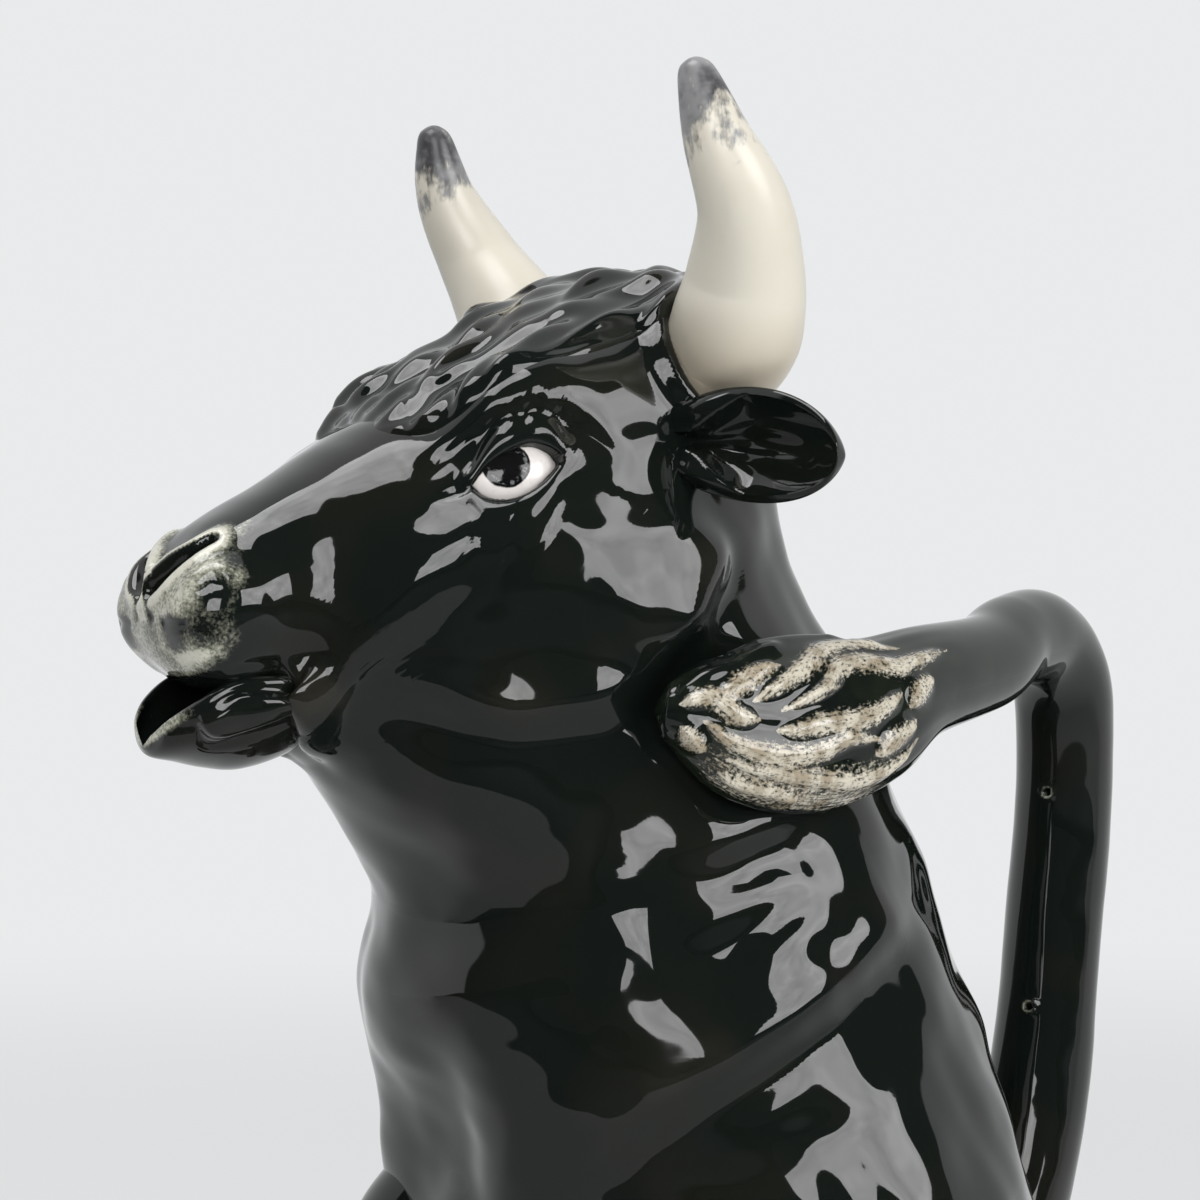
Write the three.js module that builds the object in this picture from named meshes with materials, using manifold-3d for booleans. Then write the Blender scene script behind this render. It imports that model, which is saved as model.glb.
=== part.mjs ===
// Bull jug: a seated bull cast hollow as a pouring jug, its mouth the spout and its tail the handle.
// Millimetres, +Z up, +X towards the muzzle, +Y to the bull's left. The origin is the middle of the foot.
import * as THREE from "three";
import { mergeVertices } from "three/addons/utils/BufferGeometryUtils.js";
import Module from "manifold-3d";

const wasm = await Module();
wasm.setup();

// Walls and clearances
const WALL = 4.5; // wall of the two castings
const FLOOR = 6; // thickness of the body's floor
const SEAM = 0.3; // clearance of every luted joint
const FOOT_LIFT = 0.4; // hooves end this far above the foot

// Rings of the bull's skin, from the foot to the mouth's rim. Each list has a line for the body, the neck,
// the head and the muzzle. A ring runs from its throat point in front to its crown point behind or above.
const THROAT_X = [
  47, 49, 50, 51.5, 50, 60, 60, 57.2,
  64.6, 71, 74.5, 76.5, 78, 79.2,
  80.2, 81, 81.6, 82.1, 82.5, 82.8,
  83.1, 83.4, 83.7, 84, 84.25, 84.45, 84.6,
];
const THROAT_Z = [
  0, 12, 30, 50, 67, 83, 95, 104,
  115, 124, 129, 131.5, 133.5, 135,
  136.3, 137.3, 138.1, 138.7, 139.1, 139.4,
  139.7, 139.9, 140, 139.95, 139.8, 139.6, 139.3,
];
const CROWN_X = [
  -47, -54, -59, -58, -53, -46.5, -40.5, -35,
  -29, -21.4, -11.8, -7, -7.5, -3,
  7, 22, 38, 51.5, 63.5, 74.8,
  85.2, 95.1, 102.6, 105.6, 104.7, 101.4, 97,
];
const CROWN_Z = [
  0, 12, 30, 49, 66, 84, 100, 116,
  131, 147, 160, 174, 190, 204,
  211.5, 210.5, 203.5, 195, 187.2, 180.6,
  173.4, 167.2, 161.6, 155, 148.4, 143.8, 141.8,
];
const HALF_WIDTH = [
  46, 49.5, 53.5, 54.5, 52.5, 49.5, 47, 44.5,
  42, 39.5, 37.5, 36, 34.5, 33.5,
  32.5, 32.5, 31, 28.5, 24, 20,
  17.4, 16.4, 16, 15.6, 14.6, 13, 11,
];
const SQUARE_POWER = [
  2.2, 2.2, 2.2, 2.2, 2.2, 2.15, 2.1, 2.1,
  2.1, 2.1, 2.1, 2.1, 2.15, 2.2,
  2.25, 2.3, 2.3, 2.3, 2.3, 2.3,
  2.3, 2.4, 2.4, 2.4, 2.3, 2.2, 2.2,
]; // of each ring's superellipse, 2 being an ellipse
const WIDEST_SHARE = [
  0.5, 0.5, 0.5, 0.5, 0.5, 0.5, 0.5, 0.5,
  0.5, 0.52, 0.55, 0.57, 0.58, 0.58,
  0.58, 0.57, 0.56, 0.55, 0.52, 0.5,
  0.5, 0.52, 0.56, 0.6, 0.6, 0.58, 0.55,
]; // where each ring is widest, from throat to crown
const JOINT_ROW = 7; // the ring where the head casting stands on the body casting
const MOUTH_ROW = THROAT_X.length - 1;

// Soft mounds and hollows on the skin: centre on the left, reach along its own axes, height and
// nose-down tilt in degrees
const CHEEK = { at: [42, 30, 160], reach: [36, 24, 26], lift: 5.5, tilt: 25 };
const BROW = { at: [51, 26, 189], reach: [20, 14, 11], lift: 3.6, tilt: 32 };
const SOCKET = { at: [54, 27, 174], reach: [17, 14, 11], lift: -3.2, tilt: 25 };
const MUZZLE_PAD = { at: [97, 14, 154], reach: [15, 12, 13], lift: 2.4, tilt: 25 };
const JOWL_HOLLOW = { at: [20, 36, 140], reach: [45, 24, 13], lift: -3, tilt: -14 };
const BRISKET = { at: [60, 0, 88], reach: [26, 30, 20], lift: 2, tilt: 0 };
const SHOULDER = { at: [44, 22, 66], reach: [26, 17, 30], lift: 4, tilt: 0 };
const HAUNCH = { at: [-14, 52, 41], reach: [40, 30, 36], lift: 7, tilt: 0 };
const MOUNDS = [CHEEK, BROW, SOCKET, MUZZLE_PAD, JOWL_HOLLOW, BRISKET, SHOULDER, HAUNCH];

// Steps in the skin: a line of places as ring and turn, raised on the left of its run and sunk on the right
const JAW_STEP = {
  places: [[11.36, 1.14], [10.44, 1.38], [9.68, 1.71], [9.63, 2.05], [10.36, 2.32], [12.16, 2.75]],
  raised: 2.3,
  raisedReach: 15,
  sunk: 1.3,
  sunkReach: 7,
};
const THIGH_STEP = {
  places: [[6.2, 0.9], [5.81, 1.26], [5.31, 1.57], [4.85, 1.84], [4.23, 2.25], [3.55, 2.57]],
  raised: 2.4,
  raisedReach: 15,
  sunk: 0.9,
  sunkReach: 6,
};
const STEPS = [JAW_STEP, THIGH_STEP];
const STEP_WIDTH = 4; // from the sunk side to the raised side
const STEP_FADE = 0.16; // share of the line over which a step rises at either end
const STEP_SAMPLES = 60;

// Fill opening in the nape
const FILL_WIDTH = 32;
const FILL_HEIGHT = 34;
const FILL_ROW = 11.5;

// Nostrils: half length along the slit, half breadth and depth, and the slit's slope in degrees
const NOSTRIL = { row: 22, turn: 0.38, half: [6, 2.2, 2.2], slope: 45 };

// Horns: rise, spread and sweep from the place on the skin, the path as shares of them, and its radius
const HORN_ROW = 13.44;
const HORN_TURN = 0.91;
const HORN_RISE = 45.6; // upward to the tip
const HORN_SPREAD = 20; // outward to the bend
const HORN_SWEEP = 15.8; // forward to the tip
const HORN_FORWARD_SHARE = [0.02, -0.06, 0.09, 0.17, 0.39, 0.76, 0.95, 1];
const HORN_OUTWARD_SHARE = [-0.3, 0.15, 0.49, 0.68, 0.93, 1, 0.94, 0.92];
const HORN_UPWARD_SHARE = [-0.09, 0.03, 0.13, 0.27, 0.48, 0.72, 0.93, 1];
const HORN_RADIUS = [10.5, 11, 10.8, 9.7, 7.6, 5.5, 3.2, 1];

// Ears: a leaf with a cup hollowed in its front
const EAR_ROW = 12.9;
const EAR_TURN = 1.31;
const EAR_LENGTH = 36; // with the root that the head cuts off
const EAR_HEIGHT = 18;
const EAR_THICKNESS = 9;
const EAR_RIM = 2.2; // wall left round the cup
const EAR_AIM = [-0.37, 0.93, -0.05]; // from root to tip, on the left
const EAR_SET = 12; // from the skin out to the middle of the leaf

// Eyes: a lens set into the socket
const EYE_ROW = 15.52;
const EYE_TURN = 1.6;
const EYE_HALF = [7.4, 5.4, 4.6]; // along the head, upward and outward
const EYE_SINK = 1.6; // depth of the lens's middle under the skin

// Forelock: a pad of curls on the poll and forehead
const FORELOCK_ROWS = [13.2, 18.3];
const FORELOCK_SPREAD = [0.8, 0.95]; // half angle at the poll's side and at the front's side of its oval
const FORELOCK_ROUND = 0.85; // how much of the oval's ends is rounded off
const FORELOCK_EDGE = 1.2; // thickness at its rim
const FORELOCK_RISE = 2.2; // further thickness in its middle
const FORELOCK_CURL = 0.8; // height of the curls
const FORELOCK_WAVES = 5; // curls from back to front

// Tail: a round handle from the rump, with its radius, and its path as shares of its reach, swing and rise
const TAIL_ROW = 2.2;
const TAIL_REACH = 21.6; // backward from its root
const TAIL_SWING = 26; // to the left at the shoulder
const TAIL_RISE = 113; // upward from its root
const TAIL_BACKWARD_SHARE = [-0.2, 0.34, 0.64, 0.82, 0.94, 0.98, 0.84, 0.4, -0.2, -0.76];
const TAIL_SIDEWAYS_SHARE = [0, 0, 0, 0, 0, 0.04, 0.15, 0.38, 0.69, 1];
const TAIL_UPWARD_SHARE = [-0.035, 0.054, 0.196, 0.408, 0.62, 0.785, 0.933, 1.01, 1.006, 0.974];
const TAIL_RADIUS = [11, 10.5, 9.6, 9.2, 9, 9, 9, 8.6, 8.3, 8.4];
const VENT_DIAMETER = 1.6;
const VENT_DEPTH = 3;
const VENT_PLACES = [3, 4.83]; // along the tail's points
const VENT_AIM = [0.86, 0.51, 0]; // towards the body and the left

// Tuft: it follows the skin of the left shoulder from ring to ring, at a height over the skin
const TUFT_ROW = [8.52, 8.47, 8.44, 8.68, 9, 9.3];
const TUFT_TURN = [0.75, 1.01, 1.29, 1.52, 1.67, 1.77];
const TUFT_OVER = [11.5, 8.4, 6.6, 6, 5.4, 3.2];
const TUFT_BREADTH = [9.8, 12.8, 14.4, 13.2, 9.2, 3]; // half of it
const TUFT_THICKNESS = [8.4, 8.8, 8.8, 8.2, 7.2, 4.6]; // half of it
const TUFT_START = 9.4; // along the tail's points, where the tail ends and the tuft begins

// Lower jaw: sections forward of the mouth's inner corner, with their bottom, top and half width
const JAW_FORE = [-10.5, -3, 4, 10, 15, 18.5, 19.8];
const JAW_UNDER = [-9.5, -11.6, -12, -11.4, -10.2, -9.4, -8];
const JAW_OVER = [2, 2.2, 2.4, 1.8, -1.2, -4, -6.2];
const JAW_HALF = [19.5, 18.5, 16.4, 14.2, 12, 7.5, 3];
const JAW_WALL = 3.4;
const JAW_BACK = 2; // the trough starts this far forward of the jaw's back end
const TROUGH_LEAST = 1.2; // least half height and half width of the trough

// Forelegs: centres from the place on the skin, heights over the foot, and the radius, from the top down
const LEG_ROW = 2.5;
const LEG_TURN = 2.78;
const LEG_FORE = [-17, -12, -4.2, -3, 0, 2];
const LEG_OUT = [0.4, 0.9, 1.4, 1.9, 2.4, 2.4];
const LEG_HEIGHT = [80, 62, 46, 18, 7, FOOT_LIFT];
const LEG_RADIUS = [7, 9.5, 12.4, 11.6, 13.6, 14.4];

// Hind hooves: a rounded toe at each side of the foot, cut flat underneath
const HOOF_ROW = 0.75;
const HOOF_TURN = 1.95;
const HOOF_HALF = [22, 12.5, 13]; // along, across and upward
const HOOF_OUT = 0.6; // from the skin out to its middle
const HOOF_HEIGHT = 5; // of its middle over the foot

// Facets
const BODY_RINGS = 26;
const BODY_INNER_RINGS = 10;
const HEAD_RINGS = 50;
const HEAD_INNER_RINGS = 20;
const ROUND = 40;
const INNER_ROUND = 20;
const OVERRUN = 3; // a cut goes this far past the face it opens

// A list read between its rings: a uniform cubic B-spline with its ends carried on straight.
function ringValue(list, u) {
  const last = list.length - 1;
  const at = (i) => {
    if (i < 0) return list[0] + i * (list[1] - list[0]);
    if (i > last) return list[last] + (i - last) * (list[last] - list[last - 1]);
    return list[i];
  };
  const cell = Math.min(Math.max(Math.floor(u), 0), last - 1);
  const t = u - cell;
  const weights = [(1 - t) ** 3, 3 * t ** 3 - 6 * t ** 2 + 4, -3 * t ** 3 + 3 * t ** 2 + 3 * t + 1, t ** 3];
  return weights.reduce((sum, weight, k) => sum + (weight * at(cell + k - 1)) / 6, 0);
}

function ringAt(u) {
  return {
    throat: [ringValue(THROAT_X, u), ringValue(THROAT_Z, u)],
    crown: [ringValue(CROWN_X, u), ringValue(CROWN_Z, u)],
    half: ringValue(HALF_WIDTH, u),
    power: ringValue(SQUARE_POWER, u),
    widest: ringValue(WIDEST_SHARE, u),
  };
}

// A point on the plain loft: ring u, turn v (0 on the crown, a quarter turn on the left), set in by inset.
function loftPoint(u, v, inset = 0) {
  const ring = ringAt(u);
  const across = [ring.crown[0] - ring.throat[0], ring.crown[1] - ring.throat[1]];
  const length = Math.hypot(across[0], across[1]);
  const along = [across[0] / length, across[1] / length];
  const reach = (Math.cos(v) > 0 ? 1 - ring.widest : ring.widest) * length - inset;
  const sum = Math.abs(Math.cos(v)) ** ring.power + Math.abs(Math.sin(v)) ** ring.power;
  const swell = sum ** (-1 / ring.power);
  const a = Math.cos(v) * swell * reach;
  const b = Math.sin(v) * swell * (ring.half - inset);
  const x = ring.throat[0] + across[0] * ring.widest + along[0] * a;
  const z = ring.throat[1] + across[1] * ring.widest + along[1] * a;
  return new THREE.Vector3(x, b, z);
}

function loftNormal(u, v) {
  const step = 1e-3;
  const du = loftPoint(u + step, v).sub(loftPoint(u - step, v));
  const dv = loftPoint(u, v + step).sub(loftPoint(u, v - step));
  return du.cross(dv).normalize();
}

// Height of all mounds at a point: each is (1 - q^2)^3, q the distance in its tilted ellipsoid.
function moundHeight(p) {
  let height = 0;
  for (const mound of MOUNDS) {
    const tilt = THREE.MathUtils.degToRad(mound.tilt);
    for (const side of mound.at[1] > 0 ? [1, -1] : [1]) {
      const dx = p.x - mound.at[0];
      const dy = p.y - mound.at[1] * side;
      const dz = p.z - mound.at[2];
      const x = dx * Math.cos(tilt) - dz * Math.sin(tilt);
      const z = dx * Math.sin(tilt) + dz * Math.cos(tilt);
      const q = (x / mound.reach[0]) ** 2 + (dy / mound.reach[1]) ** 2 + (z / mound.reach[2]) ** 2;
      height += q < 1 ? mound.lift * (1 - q) ** 3 : 0;
    }
  }
  return height;
}

// A point of the bull's form, loft and mounds together, raised by offset.
function formPoint(u, v, offset = 0) {
  const p = loftPoint(u, v);
  return p.addScaledVector(loftNormal(u, v), moundHeight(p) + offset);
}

const stepLines = STEPS.map((step) => {
  const places = step.places.map(([u, v]) => formPoint(u, v));
  return new THREE.CatmullRomCurve3(places, false, "catmullrom", 0.5).getPoints(STEP_SAMPLES);
});

// Height of one step at a point on the left: raised left of its line, sunk right of it, level at its ends
function stepAt(step, line, p) {
  let near = 0;
  line.forEach((q, i) => {
    near = q.distanceToSquared(p) < line[near].distanceToSquared(p) ? i : near;
  });
  const last = line.length - 1;
  const run = line[Math.min(near + 1, last)].clone().sub(line[Math.max(near - 1, 0)]).normalize();
  const gap = p.clone().sub(line[near]);
  gap.addScaledVector(run, -gap.dot(run));
  const far = gap.length();
  const side = Math.sign(run.x * gap.z - run.z * gap.x);
  const share = Math.min(near, last - near) / last;
  const hold = THREE.MathUtils.smoothstep(share, 0, STEP_FADE);
  const raised = THREE.MathUtils.smoothstep(side * far, -STEP_WIDTH / 2, STEP_WIDTH / 2);
  const up = raised * step.raised * Math.exp(-((far / step.raisedReach) ** 2));
  const down = (1 - raised) * step.sunk * Math.exp(-((far / step.sunkReach) ** 2));
  return hold * (up - down);
}

// A point of the bull's skin, its form with the steps, raised by offset.
function skinPoint(u, v, offset = 0) {
  const p = formPoint(u, v);
  const left = new THREE.Vector3(p.x, Math.abs(p.y), p.z);
  const height = STEPS.reduce((sum, step, i) => sum + stepAt(step, stepLines[i], left), 0);
  return p.addScaledVector(loftNormal(u, v), height + offset);
}

// A closed solid from a geometry whose points are moved by place(point), facing out.
function solid(geometry, place) {
  const bare = geometry.clone();
  bare.deleteAttribute("normal");
  bare.deleteAttribute("uv");
  const position = bare.attributes.position;
  const p = new THREE.Vector3();
  for (let i = 0; i < position.count; i += 1) {
    const q = place(p.fromBufferAttribute(position, i).clone());
    position.setXYZ(i, q.x, q.y, q.z);
  }
  const merged = mergeVertices(bare, 1e-4);
  const points = Float32Array.from(merged.attributes.position.array);
  const faces = Uint32Array.from(merged.index.array);
  let volume = 0;
  const corner = [new THREE.Vector3(), new THREE.Vector3(), new THREE.Vector3()];
  for (let i = 0; i < faces.length; i += 3) {
    corner.forEach((c, k) => c.fromArray(points, faces[i + k] * 3));
    volume += corner[0].dot(corner[1].clone().cross(corner[2]));
  }
  if (volume < 0) {
    for (let i = 0; i < faces.length; i += 3) {
      [faces[i + 1], faces[i + 2]] = [faces[i + 2], faces[i + 1]];
    }
  }
  return new wasm.Manifold(new wasm.Mesh({ numProp: 3, vertProperties: points, triVerts: faces }));
}

// A capped tube: place(t, angle, r) moves a point at share t along it; r is 0 in an end's middle, 1 outside.
function capped(rings, round, place) {
  return solid(new THREE.CylinderGeometry(1, 1, 1, round, rings), (p) => {
    const r = Math.hypot(p.x, p.z);
    return place(0.5 - p.y, Math.atan2(p.x, p.z), r < 0.5 ? 0 : 1);
  });
}

// The skin between two rows as a solid, raised by offset; each end is shifted along its ring's own axis.
function skinSolid(from, to, rings, round, offset, startShift) {
  return capped(rings, round, (t, v, r) => {
    const u = from + (to - from) * t;
    const p = r > 0 ? skinPoint(u, v, offset) : loftPoint(u, 0).lerp(loftPoint(u, Math.PI), 0.5);
    return t < 1e-6 ? p.addScaledVector(ringAxis(from), startShift) : p;
  });
}

// The direction a ring faces, towards the next one.
function ringAxis(u) {
  const ring = ringAt(u);
  const axis = new THREE.Vector3(ring.throat[1] - ring.crown[1], 0, ring.crown[0] - ring.throat[0]);
  return axis.normalize().negate();
}

// The hollow between two rows, a wall inside the skin; both ends are pushed out by overrun.
function hollowSolid(from, to, rings, startOverrun, endOverrun) {
  return capped(rings, INNER_ROUND, (t, v, r) => {
    const u = from + (to - from) * t;
    const middle = loftPoint(u, 0, WALL).lerp(loftPoint(u, Math.PI, WALL), 0.5);
    const p = r > 0 ? loftPoint(u, v, WALL) : middle;
    if (t < 1e-6) p.addScaledVector(ringAxis(u), -startOverrun);
    if (t > 1 - 1e-6) p.addScaledVector(ringAxis(u), endOverrun);
    return p;
  });
}

// A round or oval section carried along a curve. sizes(t) gives its half breadth and half thickness.
function carried(curve, sizes, face, rings, round, span = [0, 1]) {
  return capped(rings, round, (t, angle, r) => {
    const s = span[0] + (span[1] - span[0]) * t;
    const along = curve.getTangent(s);
    const out = face.clone().addScaledVector(along, -face.dot(along)).normalize();
    const side = along.clone().cross(out);
    const [breadth, thick] = sizes(s);
    const p = curve.getPoint(s);
    p.addScaledVector(side, Math.cos(angle) * breadth * r);
    return p.addScaledVector(out, Math.sin(angle) * thick * r);
  });
}

// A smooth list of numbers read at a share t of its length.
function smoothList(values) {
  const curve = new THREE.SplineCurve(values.map((value, i) => new THREE.Vector2(i, value)));
  return (t) => curve.getPoint(t).y;
}

function curveThrough(points) {
  return new THREE.CatmullRomCurve3(points, false, "catmullrom", 0.5);
}

function ellipsoid(half, across, up) {
  const sphere = new THREE.SphereGeometry(1, across, up);
  return solid(sphere, (p) => p.set(p.x * half[0], p.y * half[1], p.z * half[2]));
}

// Turns a solid's own X, Y and Z to three directions and moves it to a place.
function aimed(body, x, y, z, place) {
  const m = new THREE.Matrix4().makeBasis(x, y, z).setPosition(place);
  return body.transform(m.toArray());
}

function mirrored(body) {
  return body.mirror([0, 1, 0]);
}

const upright = new THREE.Vector3(0, 0, 1);

// The two castings, solid, and the same grown by the seam so that luted pieces can be cut to sit on them
const floorRow = FLOOR / THROAT_Z[1];
const grownBody = skinSolid(0, JOINT_ROW, BODY_RINGS, ROUND, SEAM, 0);
const grownHead = skinSolid(JOINT_ROW, MOUTH_ROW, HEAD_RINGS, ROUND, SEAM, 0);
const seated = (piece) => piece.subtract(grownHead).subtract(grownBody);

const bodyShell = skinSolid(0, JOINT_ROW, BODY_RINGS, ROUND, 0, 0)
  .subtract(hollowSolid(floorRow, JOINT_ROW, BODY_INNER_RINGS, 0, OVERRUN));

const fillPlace = formPoint(FILL_ROW, 0);
const fillAxis = loftNormal(FILL_ROW, 0);
const fillCut = aimed(
  ellipsoid([FILL_HEIGHT / 2, FILL_WIDTH / 2, 3 * WALL], 32, 12),
  new THREE.Vector3(0, 1, 0).cross(fillAxis), new THREE.Vector3(0, 1, 0), fillAxis, fillPlace,
);

function nostrilCut() {
  const place = formPoint(NOSTRIL.row, NOSTRIL.turn);
  const out = loftNormal(NOSTRIL.row, NOSTRIL.turn);
  const slope = THREE.MathUtils.degToRad(NOSTRIL.slope);
  const slit = new THREE.Vector3(Math.cos(slope), 0, -Math.sin(slope));
  slit.addScaledVector(out, -slit.dot(out)).normalize();
  return aimed(ellipsoid(NOSTRIL.half, 16, 8), slit, out.clone().cross(slit), out, place);
}

const headShell = skinSolid(JOINT_ROW, MOUTH_ROW, HEAD_RINGS, ROUND, 0, SEAM)
  .subtract(hollowSolid(JOINT_ROW, MOUTH_ROW, HEAD_INNER_RINGS, OVERRUN, OVERRUN))
  .subtract(fillCut)
  .subtract(nostrilCut())
  .subtract(mirrored(nostrilCut()));

// Horn with its radius grown by extra
function hornSolid(extra) {
  const foot = formPoint(HORN_ROW, HORN_TURN);
  const path = curveThrough(HORN_RADIUS.map((_, i) => new THREE.Vector3(
    foot.x + HORN_SWEEP * HORN_FORWARD_SHARE[i],
    foot.y + HORN_SPREAD * HORN_OUTWARD_SHARE[i],
    foot.z + HORN_RISE * HORN_UPWARD_SHARE[i],
  )));
  const radius = smoothList(HORN_RADIUS);
  const sizes = (t) => [radius(t) + extra, radius(t) + extra];
  return carried(path, sizes, new THREE.Vector3(1, 0, 0), 14, 14);
}

const leftHorn = seated(hornSolid(0));
const rightHorn = seated(mirrored(hornSolid(0)));

function earSolid() {
  const aim = new THREE.Vector3(...EAR_AIM).normalize();
  const front = aim.clone().cross(upright).normalize();
  const up = front.clone().cross(aim);
  const middle = formPoint(EAR_ROW, EAR_TURN).addScaledVector(aim, EAR_SET);
  const half = [EAR_LENGTH / 2, EAR_HEIGHT / 2, EAR_THICKNESS / 2];
  const leaf = aimed(ellipsoid(half, 16, 10), aim, up, front, middle);
  const cup = ellipsoid([half[0] - EAR_RIM, half[1] - EAR_RIM, half[2]], 16, 10);
  return leaf.subtract(aimed(cup, aim, up, front, middle.clone().addScaledVector(front, EAR_RIM)));
}

const leftEar = seated(earSolid().subtract(hornSolid(SEAM)));
const rightEar = seated(mirrored(earSolid().subtract(hornSolid(SEAM))));

function eyeSolid() {
  const out = loftNormal(EYE_ROW, EYE_TURN);
  const along = new THREE.Vector3(0, 0, 1).cross(out).normalize();
  const lens = ellipsoid(EYE_HALF, 20, 12);
  return aimed(lens, along, out.clone().cross(along), out, formPoint(EYE_ROW, EYE_TURN, -EYE_SINK));
}

const leftEye = seated(eyeSolid());
const rightEye = seated(mirrored(eyeSolid()));

// The pad of curls, from under the skin to its own thickness
function forelockSolid() {
  return solid(new THREE.BoxGeometry(1, 1, 1, 15, 9, 1), (p) => {
    const a = p.x + 0.5;
    const u = FORELOCK_ROWS[0] + (FORELOCK_ROWS[1] - FORELOCK_ROWS[0]) * a;
    const oval = Math.sqrt(1 - FORELOCK_ROUND * (2 * p.x) ** 2);
    const spread = (FORELOCK_SPREAD[0] + (FORELOCK_SPREAD[1] - FORELOCK_SPREAD[0]) * a) * oval;
    const middle = (1 - (2 * p.x) ** 2) * (1 - (2 * p.y) ** 2);
    const curl = FORELOCK_CURL * Math.cos(2 * Math.PI * (FORELOCK_WAVES * a + p.y)) * middle;
    const top = SEAM + FORELOCK_EDGE + FORELOCK_RISE * middle + curl;
    return formPoint(u, 2 * p.y * spread, p.z > 0 ? top : -FORELOCK_EDGE);
  });
}

const forelock = seated(forelockSolid()).subtract(hornSolid(SEAM)).subtract(mirrored(hornSolid(SEAM)));

// Tail and tuft share one spine
const tailRoot = formPoint(TAIL_ROW, 0);
const spinePoints = [
  ...TAIL_RADIUS.map((_, i) => new THREE.Vector3(
    tailRoot.x - TAIL_REACH * TAIL_BACKWARD_SHARE[i],
    tailRoot.y + TAIL_SWING * TAIL_SIDEWAYS_SHARE[i],
    tailRoot.z + TAIL_RISE * TAIL_UPWARD_SHARE[i],
  )),
  ...TUFT_ROW.map((row, i) => formPoint(row, TUFT_TURN[i], TUFT_OVER[i])),
];
const spine = curveThrough(spinePoints);
const spineEnd = spinePoints.length - 1;
const breadthAt = smoothList([...TAIL_RADIUS, ...TUFT_BREADTH]);
const thickAt = smoothList([...TAIL_RADIUS, ...TUFT_THICKNESS]);
const spineSizes = (t) => [breadthAt(t), thickAt(t)];
const spineFace = new THREE.Vector3(0, 1, 0.1).normalize();
const tailEnd = TUFT_START / spineEnd;
const spineStep = 1e-3;
const spineSpeed = spine.getPoint(tailEnd + spineStep).distanceTo(spine.getPoint(tailEnd)) / spineStep;

// A vent pinhole in the handle's inner side
function ventCut(place) {
  const t = place / spineEnd;
  const middle = spine.getPoint(t);
  const along = spine.getTangent(t);
  const aim = new THREE.Vector3(...VENT_AIM);
  const out = aim.addScaledVector(along, -aim.dot(along)).normalize();
  const pin = new THREE.CylinderGeometry(VENT_DIAMETER / 2, VENT_DIAMETER / 2, 2 * VENT_DEPTH, 12);
  const reach = middle.addScaledVector(out, thickAt(t));
  return aimed(solid(pin, (p) => p), out.clone().cross(along), out, along.clone().negate(), reach);
}

let tailHandle = seated(carried(spine, spineSizes, spineFace, 26, 14, [0, tailEnd]));
VENT_PLACES.forEach((place) => {
  tailHandle = tailHandle.subtract(ventCut(place));
});
const tailTuft = seated(carried(spine, spineSizes, spineFace, 14, 18, [tailEnd + SEAM / spineSpeed, 1]));

// Jaw sections: a rounded trough open upward and at the lip
function jawLoft(rings, round, set) {
  const corner = ringAt(MOUTH_ROW).throat;
  const [fore, under, over, half] = [JAW_FORE, JAW_UNDER, JAW_OVER, JAW_HALF].map(smoothList);
  return capped(rings, round, (t, angle, r) => {
    const section = set(fore(t), under(t), over(t), half(t), t);
    const y = section.half * Math.cos(angle) * r;
    const z = section.middle + section.rise * Math.sin(angle) * r;
    return new THREE.Vector3(corner[0] + section.fore, y, corner[1] + z);
  });
}

const jawOuter = jawLoft(14, 20, (fore, under, over, half) => (
  { fore, half, middle: (under + over) / 2, rise: (over - under) / 2 }
));
const jawTrough = jawLoft(14, 16, (fore, under, over, half, t) => ({
  fore: fore + JAW_BACK + (t > 1 - 1e-6 ? JAW_WALL : 0),
  half: Math.max(half - JAW_WALL, TROUGH_LEAST),
  middle: over,
  rise: Math.max(over - under - JAW_WALL, TROUGH_LEAST),
}));
const lowerJaw = seated(jawOuter.subtract(jawTrough));

// Foreleg: level round sections stacked from the shoulder down to the hoof
function legSolid() {
  const foot = formPoint(LEG_ROW, LEG_TURN);
  const [fore, out, height, radius] = [LEG_FORE, LEG_OUT, LEG_HEIGHT, LEG_RADIUS].map(smoothList);
  return capped(12, 18, (t, angle, r) => new THREE.Vector3(
    foot.x + fore(t) + radius(t) * Math.cos(angle) * r,
    foot.y + out(t) + radius(t) * Math.sin(angle) * r,
    height(t),
  ));
}

const leftForeleg = seated(legSolid());
const rightForeleg = seated(mirrored(legSolid()));

function hoofSolid() {
  const place = formPoint(HOOF_ROW, HOOF_TURN);
  const middle = new THREE.Vector3(place.x, place.y + HOOF_OUT, HOOF_HEIGHT);
  const axes = [new THREE.Vector3(1, 0, 0), new THREE.Vector3(0, 1, 0), upright];
  const ground = new THREE.BoxGeometry(4 * HOOF_HALF[0], 4 * HOOF_HALF[1], 2 * HOOF_HALF[2]);
  const under = aimed(solid(ground, (p) => p), ...axes, middle.clone().setZ(FOOT_LIFT - HOOF_HALF[2]));
  return aimed(ellipsoid(HOOF_HALF, 20, 12), ...axes, middle).subtract(under);
}

const leftHoof = seated(hoofSolid());
const rightHoof = seated(mirrored(hoofSolid()));

// Glazes
const black = { color: 0x0c0c0d, roughness: 0.08 };
const ivory = { color: 0xe8e1cd, roughness: 0.3 };
const white = { color: 0xe6e6e0, roughness: 0.12 };
const brushed = { color: 0x6a6355, roughness: 0.2 };

const group = new THREE.Group();
group.name = "bull_jug";

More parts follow.
